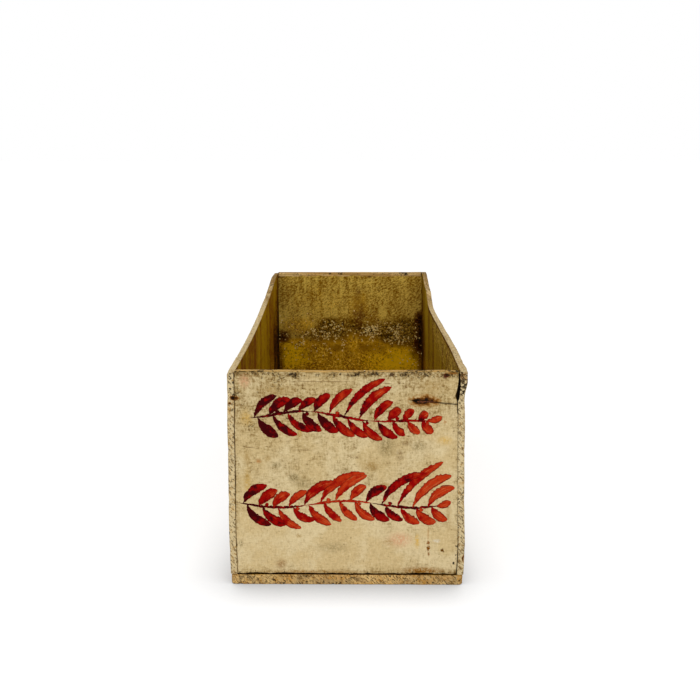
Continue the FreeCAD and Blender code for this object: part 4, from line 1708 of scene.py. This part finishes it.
@dataclass
class BackBoard(Board):
    """The taller back, whose inner face shows how high the powder stood."""

    crust_top: Knots = ((-95, 130), (-80, 131), (-52, 137), (-42, 144), (-30, 149), (-10, 150), (30, 146),
                        (60, 148), (95, 156))
    crust_foot: Knots = ((-95, 121), (-50, 122), (-20, 124), (5, 128), (30, 124), (60, 116), (95, 112))
    top_fall: float = 0.55
    chips: tuple[tuple[float, ...], ...] = (
        (-27.0, 208.5, 6.0, 3.4), (-21.0, 206.0, 2.4, 2.4), (54.0, 209.0, 3.4, 2.4))

    def bend(self, skin: Skin) -> Array:
        """Fits the ends between the leaning sides and lets the top rise a little to the right.

        Args:
            skin: The board's surface.

        Returns:
            The moved points.
        """
        x, y, z = skin.points.T
        moved = x + sum(fitted(skin, side, -0.3, 60) for side in Side)
        tilt = 0.2 + self.top_fall * (x - skin.low[0]) / (skin.high[0] - skin.low[0])
        return np.stack([moved, y, z + tilt * ease(z, skin.high[2] - 40, skin.high[2])], axis=1)

    def radius(self, skin: Skin) -> Array:
        """A rubbed and chipped inner arris along the top.

        Args:
            skin: The board's surface.

        Returns:
            The radius at each point.
        """
        crown = ease(skin.points[:, 2], skin.high[2] - 8, skin.high[2] - 2)
        top = crown * ease(skin.points[:, 1], skin.high[1] - 1, skin.low[1] + 3)
        broken = skin.patches((7.0, 9.0, 9.0), 12, 0.15, 0.5)
        return super().radius(skin) * (0.4 + 0.6 * crown) + top * (1.9 + 1.2 * broken)

    def carve(self, skin: Skin) -> Array:
        """Saw marks on a slant, a caked line and the larger chips in the top arris.

        Args:
            skin: The board's surface.

        Returns:
            The depth below each point.
        """
        x, y, z = skin.points.T
        slant = replace(skin, points=np.stack([x + 0.8 * z, y, z - 0.8 * x], axis=1))
        depth = 0.22 * (0.5 + slant.rough((4.5, 9.0, 22.0), 14, layers=3))
        depth += sum(1.1 * skin.spot(*chip) for chip in self.chips)
        return super().carve(skin) + skin.faces(1, -1) * depth

    def masks(self, skin: Skin) -> dict[str, Array]:
        """Caked line, ochre below it, soot with painted shade in the corners and painted shade on the ends.

        Args:
            skin: The board's surface.

        Returns:
            The masks by name.
        """
        x, y, z = skin.points.T
        rim = skin.high[2]
        wander = 5 * skin.rough(16.0, 3, "xz")
        top = curve_through(self.crust_top, x) + wander
        foot = curve_through(self.crust_foot, x) + wander
        crust = ease(z, top + 9, top - 8) * ease(z, foot - 14, foot + 10) * (0.4 + 0.6 * ease(x, -75, -30))
        tail = ease(z, foot - 46, foot - 4) * ease(z, foot + 6, foot - 4) * (0.5 + 0.2 * ease(x, 30, 60))
        crust = strongest(crust, tail * skin.patches((18, 9, 11), 52, -0.25, 0.35),
                          0.5 * skin.patches(3.0, 18, 0.35, 0.5))
        clumps = ease(skin.rough(5.0, 50, layers=3), -0.15, 0.3)
        caked = ease(z, foot - 16, foot + 4) * ease(z, foot + 30, foot + 12)
        caked *= 0.35 + 0.8 * skin.spot(44, 136, 44, 26) + 0.8 * skin.spot(-50, 129, 15, 18)
        below = ease(z, foot - 60, foot) * ease(z, foot + 44, foot + 20)
        caked = caked * (0.25 + 0.75 * clumps) + 0.5 * clumps * below
        # Soot and painted shade: darkest in the two back corners, with a dark band under the top and a dark
        # patch.
        soot_and_shade = strongest(
            ease(x, 78, 92) * ease(np.abs(z - 131), 38, 16),
            0.65 * ease(x, -74, -90) * ease(np.abs(z - 125), 12, 3),
            0.45 * ease(np.abs(x), 84, 93) * ease(z, 130, 105), 0.4 * skin.spot(10, 162, 13, 44))
        soot_and_shade += 0.55 * ease(z, 200, 207) * skin.patches(8.0, 19, -0.1, 0.3)
        mottle = strongest(
            0.3 * skin.patches(22.0, 17, 0.05, 0.4) * ease(z, 206, 190), 0.55 * skin.spot(10, 164, 20, 38),
            0.6 * skin.spot(-70, 140, 42, 20))
        gold = 0.9 * skin.spot(58, 92, 56, 32) + 0.8 * skin.spot(-80, 100, 34, 28)
        rear = ease(x, 42, 50) * ease(y, skin.high[1] - 3.5, skin.high[1] - 1.5) * ease(z, rim - 3, rim - 1)
        knocks = skin.patches((14.0, 9.0, 9.0), 24, -0.1, 0.35)
        bare = ease(z + 1.4 * skin.rough(7.0, 22), rim - 4.4, rim - 3.0)
        inner = skin.faces(1, -1)
        return {
            "inside": inner * (1 - bare),
            "grime": (0.3 + 0.6 * knocks) * ease(z, rim - 5, rim - 2) + 0.8 * rear,
            "dust": inner * np.maximum(ease(z, foot + 12, foot - 6) + gold, mottle),
            "crust": inner * crust,
            "caked": inner * caked * (1 - bare),
            "soot_and_shade": np.clip(inner * soot_and_shade, 0, 1),
            # Painted shade on the ends, where they meet the side boards.
            "gap_shade": 0.8 * ease(np.abs(skin.normals[:, 0]), 0.7, 0.95),
        }


@dataclass
class BasePlank(Board):
    """A plank of the base, whose front end shows below the front board."""

    seam: float = 0.3
    seam_x: float = 63.0
    inner_half: tuple[float, float] = (95.0, 237.0)

    def bend(self, skin: Skin) -> Array:
        """Shuts the seam between the two planks.

        Args:
            skin: The board's surface.

        Returns:
            The moved points.
        """
        x, y, z = skin.points.T
        low, high = skin.low[0], skin.high[0]
        shut = ease(x, high - 2, high) if self.node.startswith("wide") else -ease(x, low + 2, low)
        return np.stack([x + self.seam * shut, y, z], axis=1)

    def radius(self, skin: Skin) -> Array:
        """Rounder at the outer front corner.

        Args:
            skin: The board's surface.

        Returns:
            The radius at each point.
        """
        x = np.abs(skin.points[:, 0])
        front = ease(skin.points[:, 1], skin.low[1] + 5, skin.low[1])
        seam = ease(np.abs(skin.points[:, 0] - self.seam_x), 4.0, 2.5)
        return super().radius(skin) * (1 + 0.2 * front) * (1 - 0.65 * seam) + 1.3 * front * ease(x, 96, 99)

    def carve(self, skin: Skin) -> Array:
        """Adds small bites along the foot of the front end."""
        front = ease(skin.points[:, 1], skin.low[1] + 3, skin.low[1])
        return super().carve(skin) + 0.6 * front * skin.patches((4.0, 6.0, 4.0), 40, 0.3, 0.5)

    def masks(self, skin: Skin) -> dict[str, Array]:
        """Powder all over the bin's floor, thickest in the corners, with painted shade along the walls, in
        the seam and under the front board.

        Args:
            skin: The plank's surface.

        Returns:
            The masks by name.
        """
        x, y, _ = skin.points.T
        up, front_end = skin.faces(2, 1), skin.faces(1, -1)
        edge = np.minimum(self.inner_half[0] - np.abs(x), self.inner_half[1] - np.abs(y))
        lumps = up * 0.7 * skin.patches(26.0, 5, 0.15, 0.45)
        towards_seam = skin.normals[:, 0] * (-1 if self.node.startswith("narrow") else 1)
        below = 0.85 * ease(skin.normals[:, 2], 0.6, 0.9) * ease(y, -244.6, -244.0) * ease(y, -236.0, -237.0)
        return {
            "dust": up * (0.7 + 0.3 * ease(edge + 10 * skin.rough(30.0, 3), 34, 4)),
            "crust": lumps,
            "caked": lumps,
            # Soot and painted shade along the walls.
            "soot_and_shade": up * 0.5 * ease(edge, 8, 0),
            "painted": 0.25 * front_end,
            "grime": 0.4 * front_end,
            # Painted shade on the faces in the seam and on the top under the front board.
            "gap_shade": np.maximum(0.4 * ease(towards_seam, 0.7, 0.95), below),
        }


# Caked powder

@functools.cache
def crumb_tree() -> bpy.types.NodeTree:
    """Geometry nodes that scatter crumbs where a mesh's caked mask is strong.

    Returns:
        The group.
    """
    s = GroupSheet("crumbs", dict(Board=SHAPE, Density=NUMBER, Smallest=NUMBER, Largest=NUMBER, Seed=WHOLE,
                                  Finish=FINISH), dict(Crumbs=SHAPE), "GeometryNodeTree")
    caked = s.node("GeometryNodeInputNamedAttribute", {"Name": "caked"}, data_type="FLOAT")["Attribute"]
    density = caked.sum("POWER", 1.5) * s["Density"]
    scatter = s.node("GeometryNodeDistributePointsOnFaces", {
        "Mesh": s["Board"], "Density": density, "Seed": s["Seed"]})
    lump = s.node("GeometryNodeMeshIcoSphere", {"Radius": 1.0, "Subdivisions": 1})["Mesh"]
    size = s.node("FunctionNodeRandomValue", {2: s["Smallest"], 3: s["Largest"], "Seed": s["Seed"]})[1]
    squeeze = s.node("FunctionNodeRandomValue", {0: (0.6, 0.6, 0.4), 1: (1.2, 1.2, 0.8)},
                     data_type="FLOAT_VECTOR")[0]
    spread = s.node("GeometryNodeInstanceOnPoints", {
        "Points": scatter["Points"], "Instance": lump, "Rotation": scatter["Rotation"],
        "Scale": squeeze * size})
    return s.give(Crumbs=s.real(spread[0]))


@dataclass(frozen=True)
class Crumbs:
    """Crumbs of caked powder that cling to the inner faces, by their number in a square metre."""

    densities: dict[str, float] = field(default_factory=lambda: {
        "back_board": 330000.0, "front_board": 60000.0, "wide_base_plank": 30000.0,
        "narrow_base_plank": 30000.0,
    })
    smallest: float = 0.35
    largest: float = 1.4

    def build(self, boards: Pieces) -> None:
        """Scatters crumbs on each board that has a crust.

        Args:
            boards: The boards by their nodes' names.
        """
        powder = CakedPowder("caked_powder", 0.03).material()
        for seed, (node, density) in enumerate(self.densities.items()):
            made = grow(node + "_crumbs", crumb_tree(), {
                "Density": density, "Smallest": self.smallest * MM, "Largest": self.largest * MM,
                "Seed": seed, "Finish": powder,
            }, boards[node].data.copy())
            settle(made, "pigment_stained_wood")


# Brushed ornament

@dataclass
class Stroke:
    """One pull of a loaded brush on the front, as a spine of points and its widest width in millimetres."""

    spine: list[tuple[float, float]]
    width: float
    tone: float
    fade: float = 0.45
    belly: float = 0.62
    blunt: float = 0.55

    def widths(self, share: Array) -> Array:
        """Half width at each share of the length, thin at the start and round at the end.

        Args:
            share: Shares of the stroke's length.

        Returns:
            The half width at each of them.
        """
        before = share < self.belly
        warped = np.where(before, 0.5 * share / self.belly, 1 - 0.5 * (1 - share) / (1 - self.belly))
        swell = np.clip(np.sin(np.pi * np.clip(warped, 0, 1)), 0, 1)
        return self.width / 2 * swell ** np.where(before, 0.9, self.blunt)


@dataclass
class Garland:
    """A run of leaf-shaped strokes on a waving stem."""

    name: str
    left: float
    right: float
    height: float
    pairs: int
    seed: int
    taper: float
    crest: Knots
    fall: float = 0.0
    tones: Knots = ((0.0, -0.02), (0.4, 0.3), (0.7, 0.45), (1.0, 0.7))
    upper_leaf: float = 27.0
    lower_leaf: float = 25.0
    leaf_width: float = 7.8
    stem_width: float = 2.4
    wave: float = 3.0
    waves: float = 1.5
    across_steps: tuple[float, ...] = (-1.0, -0.86, -0.6, -0.3, 0.0, 0.3, 0.6, 0.86, 1.0)
    film: float = 0.09
    depth: float = 0.25
    station: float = 0.45
    before_front: float = -300.0
    bud_drop: float = 3.6
    bud_width: float = 3.4

    def stem(self, share: float) -> tuple[float, float]:
        """Point of the stem at a share of its length.

        Args:
            share: The share, from 0 to 1.

        Returns:
            The point's place along X and its height.
        """
        rise = self.wave * math.sin(2 * math.pi * self.waves * share + self.seed)
        rise -= self.fall * float(ease(share, 0.5, 1.0))
        return self.left + share * (self.right - self.left), self.height + rise

    def leaf(self, share: float, length: float, angle: float, bow: float, tone: float,
             width: float) -> Stroke:
        """Leaf that leaves the stem at an angle and curls back by its bow.

        Args:
            share: Share of the stem's length at which it grows.
            length: Its length in millimetres.
            angle: Its angle to X in degrees.
            bow: How far it turns from end to end, in degrees.
            tone: How thin its paint is.
            width: Its widest width in millimetres.

        Returns:
            The leaf.
        """
        x, z = self.stem(share)
        spine = []
        for part in np.linspace(0, 1, 5):
            turned = math.radians(angle + bow * (part - 0.5))
            spine.append((x + length * part * math.cos(turned), z + length * part * math.sin(turned)))
        return Stroke(spine, width, tone)

    def strokes(self) -> list[Stroke]:
        """Every stroke of the garland, the stem first.

        Returns:
            The strokes, in the order in which they are laid.
        """
        luck = np.random.default_rng(self.seed)
        spine = [self.stem(share) for share in np.linspace(0, 1, 25)]
        tones = [float(curve_through(self.tones, np.array(start / 24))) for start in (0, 8, 16)]
        parts = [Stroke(spine[8 * i:8 * i + 9], self.stem_width, tone, fade=0.1, belly=0.5, blunt=0.35)
                 for i, tone in enumerate(tones)]
        for number in range(self.pairs):
            share = (number + 0.35) / self.pairs
            tone = float(curve_through(self.tones, np.array(share)))
            for way, length in ((1, self.upper_leaf), (-1, self.lower_leaf)):
                size = length * luck.uniform(0.86, 1.12) * (1 - self.taper * share ** 3)
                size *= float(curve_through(self.crest, np.array(share))) if way > 0 else 1.0
                angle = way * luck.uniform(50, 62)
                shift = 0.02 if way < 0 else 0.0
                parts.append(self.leaf(
                    min(1.0, share + shift), size, angle, -way * luck.uniform(20, 38),
                    tone + luck.uniform(-0.16, 0.16), self.leaf_width * luck.uniform(0.85, 1.12)))
            if number % 2:
                x, z = self.stem(share + 0.5 / self.pairs)
                drop = self.bud_drop if number % 4 == 1 else -self.bud_drop
                bud = [(x, z), (x + 0.6, z + drop / 2), (x + 1.2, z + drop)]
                parts.append(Stroke(bud, self.bud_width, tone, fade=0.1, belly=0.7, blunt=0.4))
        x, z = self.stem(1.0)
        parts.append(Stroke([(x - 2, z), (x + 5, z + 1), (x + 11, z + 4)], 0.8 * self.leaf_width, 0.8))
        return parts

    def ribbon(self, number: int, stroke: Stroke, front: BVHTree) -> tuple[Array, list, dict[str, Array]]:
        """Closed film of paint along one stroke.

        Args:
            number: The stroke's number, which sets how far up it lies on the others.
            stroke: The stroke.
            front: The front board's surface.

        Returns:
            The film's points in millimetres, its faces and its masks.
        """
        spine = np.array(stroke.spine)
        length = np.linalg.norm(np.diff(spine, axis=0), axis=1).sum()
        count = max(10, int(length / self.station))
        share = np.linspace(0, 1, count)
        knots = np.linspace(0, 1, len(spine))
        line = np.stack([curve_through(list(zip(knots, spine[:, i])), share) for i in (0, 1)], axis=1)
        ahead = np.gradient(line, axis=0)
        ahead /= np.linalg.norm(ahead, axis=1)[:, None]
        aside = np.stack([-ahead[:, 1], ahead[:, 0]], axis=1)
        half = np.maximum(stroke.widths(share), 0.12)
        steps = np.array(self.across_steps)
        rims = []
        for edge, strength in ((0, 0.3), (1, 0.55)):
            at = np.stack([share * length, np.full(count, 7.0 * number), np.full(count, 3.0 * edge)], axis=1)
            ragged = strength * rough_noise(at, (1.3, 1, 1), self.seed + edge, 1)
            ragged += 0.3 * rough_noise(at, (4.0, 1, 1), self.seed + 7 + edge, 1)
            rims.append(np.maximum(half + ragged * np.minimum(half, 1.0), 0.1))
        offsets = np.where(steps[None, :] < 0, rims[0][:, None], rims[1][:, None]) * steps[None, :]
        flat = line[:, None, :] + aside[:, None, :] * offsets[:, :, None]
        lift = self.film * (1 + 0.35 * (number % 7)) * np.where(np.abs(steps) > 0.95, 0.25, 1.0)
        top = np.empty((count, len(steps), 3))
        under = np.empty_like(top)
        for i, j in itertools.product(range(count), range(len(steps))):
            x, z = flat[i, j]
            hit = front.ray_cast(Vector((x, self.before_front, z)), Vector((0, 1, 0)))[0]
            surface = hit.y if hit else box_mm("front_board")[0][1]
            top[i, j] = (x, surface - lift[j], z)
            under[i, j] = (x, surface + self.depth, z)
        rings = np.concatenate([top, under[:, ::-1]], axis=1)
        ring = rings.shape[1]
        faces: list[tuple[int, ...]] = []
        for i, j in itertools.product(range(count - 1), range(ring)):
            a, b = i * ring + j, i * ring + (j + 1) % ring
            faces.append((a, b, b + ring, a + ring))
        faces += [tuple(range(ring - 1, -1, -1)), tuple(range((count - 1) * ring, count * ring))]
        return rings.reshape(-1, 3), faces, {
            "across": np.tile(np.concatenate([steps, steps[::-1]]), count),
            "along": np.repeat(share * length, ring) / 10,
            "tone": np.repeat(stroke.tone + stroke.fade * (share - 0.5), ring),
            "pull": np.full(count * ring, float(number)),
        }

    def build(self, front: BVHTree, paint: bpy.types.Material) -> None:
        """Paints the garland on the front board.

        Args:
            front: The front board's surface.
            paint: The paint.
        """
        points, faces, masks, offset = [], [], [], 0
        for number, stroke in enumerate(self.strokes()):
            film, film_faces, film_masks = self.ribbon(number, stroke, front)
            points.append(film)
            faces += [tuple(corner + offset for corner in face) for face in film_faces]
            masks.append(film_masks)
            offset += len(film)
        joined = {name: np.concatenate([m[name] for m in masks]) for name in masks[0]}
        settle(make_piece(self.name, np.concatenate(points), faces, joined, paint), "painted_wood")


# Studio

@dataclass(frozen=True)
class Studio:
    """Plain floor, soft light and the camera of the photograph. The lamp's sizes are in metres."""

    lens: float = 50.0
    sensor: float = 36.0
    eye: Triple = (8.17, -1026.1, 367.4)
    pitch: float = 11.62
    yaw: float = -0.421
    roll: float = -0.048
    floor_half: float = 30000.0
    floor_grey: float = 0.8
    sky: float = 0.75
    key_power: float = 7.0
    lamp_size: tuple[float, float] = (1.6, 1.2)
    lamp_place: Triple = (0.0, -1.7, 0.75)
    lamp_aim: Triple = (0.0, 0.0, 0.1)
    glow: float = 0.78
    shown_grey: float = 0.34
    shadow_reach: float = 50.0
    shadow_depth: float = 0.95

    def camera(self) -> None:
        """Sets the camera up."""
        pitch, yaw, roll = (math.radians(a) for a in (self.pitch, self.yaw, self.roll))
        ahead = Vector((math.sin(yaw) * math.cos(pitch), math.cos(yaw) * math.cos(pitch), -math.sin(pitch)))
        right = Vector((math.cos(yaw), -math.sin(yaw), 0))
        down = ahead.cross(right)
        image_right = math.cos(roll) * right + math.sin(roll) * down
        image_down = -math.sin(roll) * right + math.cos(roll) * down
        made = bpy.data.objects.new("camera", bpy.data.cameras.new("camera"))
        made.data.lens = self.lens
        made.data.sensor_width = self.sensor
        made.data.clip_start = 0.02
        turned = Matrix((image_right, -image_down, -ahead)).transposed().to_4x4()
        made.matrix_world = Matrix.Translation(Vector(self.eye) * MM) @ turned
        bpy.context.collection.objects.link(made)
        bpy.context.scene.camera = made

    def floor(self) -> None:
        """Pale floor that shows white to the camera, with a contact shadow painted in from ambient occlusion
        over a faint real shadow.
        """
        half = self.floor_half
        corners = np.array([(-half, -half, 0), (half, -half, 0), (half, half, 0), (-half, half, 0)], float)
        made = bpy.data.materials.new("studio_floor")
        made.use_nodes = True
        made.node_tree.nodes.remove(made.node_tree.nodes["Principled BSDF"])
        s = Sheet(made.node_tree)
        path = s.node("ShaderNodeLightPath", {})
        seen = path["Is Camera Ray"].sum("MAXIMUM", path["Is Glossy Ray"])
        # Contact shadow painted into the floor from ambient occlusion, stronger in front of the bin than
        # beside it.
        near = s.node("ShaderNodeAmbientOcclusion", {"Distance": self.shadow_reach * MM}, samples=16)["AO"]
        parts = s.node("ShaderNodeSeparateXYZ", {0: s.place()})
        strength = parts[1].ramp(60.0, -300.0, 0.0, self.shadow_depth)
        strength = strength * parts[0].ramp(85.0, 125.0, 1.0, 0.45) * parts[0].ramp(-85.0, -125.0, 1.0, 0.65)
        shade = (1.0 - (1.0 - near) * strength).clamped()
        shown = s.node("ShaderNodeCombineColor", {i: shade * self.shown_grey for i in range(3)})[0]
        grey = (self.floor_grey, self.floor_grey, self.floor_grey, 1.0)
        plain, lit = (s.node("ShaderNodeBsdfDiffuse", {"Color": colour})[0] for colour in (grey, shown))
        white = s.node("ShaderNodeEmission", {"Strength": shade * self.glow})[0]
        both = s.node("ShaderNodeAddShader", {0: lit, 1: white})[0]
        floor = s.node("ShaderNodeMixShader", {0: seen, 1: plain, 2: both})[0]
        s.feed(made.node_tree.nodes["Material Output"].inputs["Surface"], floor)
        make_piece("studio_floor", corners, [(0, 1, 2, 3)], {}, made)

    def light(self) -> None:
        """Even sky with a soft lamp above and in front."""
        world = bpy.data.worlds.new("studio_sky")
        world.use_nodes = True
        s = Sheet(world.node_tree)
        path = s.node("ShaderNodeLightPath", {})
        seen = path["Is Camera Ray"].sum("MAXIMUM", path["Is Transmission Ray"])
        background = world.node_tree.nodes["Background"].inputs
        s.feed(background["Color"], (255, 255, 255))
        s.feed(background["Strength"], self.sky + seen * (1.0 - self.sky))
        bpy.context.scene.world = world
        lamp = bpy.data.lights.new("soft_lamp", "AREA")
        lamp.shape = "RECTANGLE"
        lamp.size, lamp.size_y = self.lamp_size
        lamp.energy = self.key_power
        made = bpy.data.objects.new("soft_lamp", lamp)
        made.location = self.lamp_place
        aim = Vector(self.lamp_aim) - Vector(made.location)
        made.rotation_euler = aim.to_track_quat("-Z", "Y").to_euler()
        bpy.context.collection.objects.link(made)

    def build(self) -> None:
        """Sets up the whole studio."""
        self.camera()
        self.floor()
        self.light()
        bpy.context.scene.view_settings.view_transform = "Standard"


LEFT_TOP = (
    (-245, 187.1), (-220, 186.8), (-180, 186.5), (-140, 186.2), (-105, 186.6), (-68, 187.5), (-30, 188.9),
    (9, 190.7), (46, 193.3), (86, 196.1), (108, 197.6), (135, 200.7), (164, 204.1), (183, 206.5),
    (206, 208.8), (222, 209.4), (245, 209.5))
RIGHT_TOP = (
    (-245, 188.8), (-231, 189.8), (-209, 190.1), (-187, 190.7), (-154, 191.1), (-122, 190.6), (-91, 190.3),
    (-65, 189.4), (-38, 188.7), (-12, 188.1), (22, 186.6), (52, 185.9), (81, 185.6), (108, 186.2),
    (120, 187.6), (128, 190.2), (138, 192.8), (146, 197.2), (163, 199.7), (185, 201.7), (198, 205.0),
    (214, 208.2), (222, 210.0), (232, 210.9), (245, 211.0))


def build_boards() -> Pieces:
    """Builds the six boards.

    Returns:
        The boards by their nodes' names.
    """
    left_wood = BareWood("aged_left_wood", 0.03, LEFT_LOOK).material()
    right_wood = BareWood("aged_right_wood", 0.03, RIGHT_LOOK).material()
    base_wood = BareWood("aged_base_wood", 0.03, BASE_LOOK, 0.7, 0.5).material()
    back_wood = BareWood("stained_back_wood", 0.03, BACK_LOOK).material()
    paint = FrontPaint("cream_front_paint", 0.06, FRONT_LOOK).material()
    front_step, back_step = (1.2, 1.2, 1.2), (1.5, 1.4, 1.5)
    side_step, base_step = (1.2, 2.0, 2.0), (1.8, 2.4, 1.2)
    boards: list[Board] = [
        FrontBoard("front_board", "painted_wood", paint, (0, 1, 0), 0, 11, front_step, edge_step=0.4,
                   arris=0.5, hollow=0.2),
        BackBoard("back_board", "pigment_stained_wood", back_wood, (0, -1, 0), 0, 23, back_step, arris=0.6),
        SideBoard("left_side", "aged_wood", left_wood, (1, 0, 0), 1, 37, side_step,
                  side=Side.LEFT, top=LEFT_TOP),
        SideBoard("right_side", "aged_wood", right_wood, (-1, 0, 0), 1, 53, side_step,
                  side=Side.RIGHT, top=RIGHT_TOP),
        BasePlank("wide_base_plank", "aged_wood", base_wood, (0, 0, 1), 1, 71, base_step),
        BasePlank("narrow_base_plank", "aged_wood", base_wood, (0, 0, 1), 1, 89, base_step),
    ]
    return {board.node: board.build() for board in boards}


def build_ornament(front: bpy.types.Object) -> None:
    """Paints the two garlands on the front board.

    Args:
        front: The front board.
    """
    mesh = front.data
    surface = BVHTree.FromPolygons([v.co / MM for v in mesh.vertices], [p.vertices[:] for p in mesh.polygons])
    paint = BrushPaint("brushed_red_paint", 0.03).material()
    upper_crest = ((0.0, 0.95), (0.4, 0.95), (0.53, 1.85), (0.6, 1.8), (0.7, 1.0), (1.0, 0.8))
    lower_crest = ((0.0, 0.9), (0.3, 1.0), (0.42, 1.9), (0.52, 1.0), (0.66, 1.0), (0.76, 2.2), (0.86, 2.1),
                   (1.0, 1.0))
    lower_tones = ((0.0, 0.05), (0.1, 0.4), (0.35, 0.7), (0.55, 0.8), (0.7, 0.15), (0.8, 0.75), (1.0, 0.9))
    garlands = (
        Garland("upper_garland", left=-82.0, right=68.0, height=151.5, pairs=12, seed=5, taper=0.6,
                crest=upper_crest, fall=8.0),
        Garland("lower_garland", left=-93.0, right=77.0, height=73.0, pairs=13, seed=9, taper=0.3,
                crest=lower_crest, tones=lower_tones),
    )
    for garland in garlands:
        garland.build(surface, paint)


def main() -> None:
    """Builds the studio, the boards, the nails, the powder and the ornament."""
    logging.basicConfig(level=logging.INFO, format="%(name)s: %(message)s")
    Studio().build()
    boards = build_boards()
    build_nails(boards)
    Crumbs().build(boards)
    build_ornament(boards["front_board"])


if __name__ == "__main__":
    main()
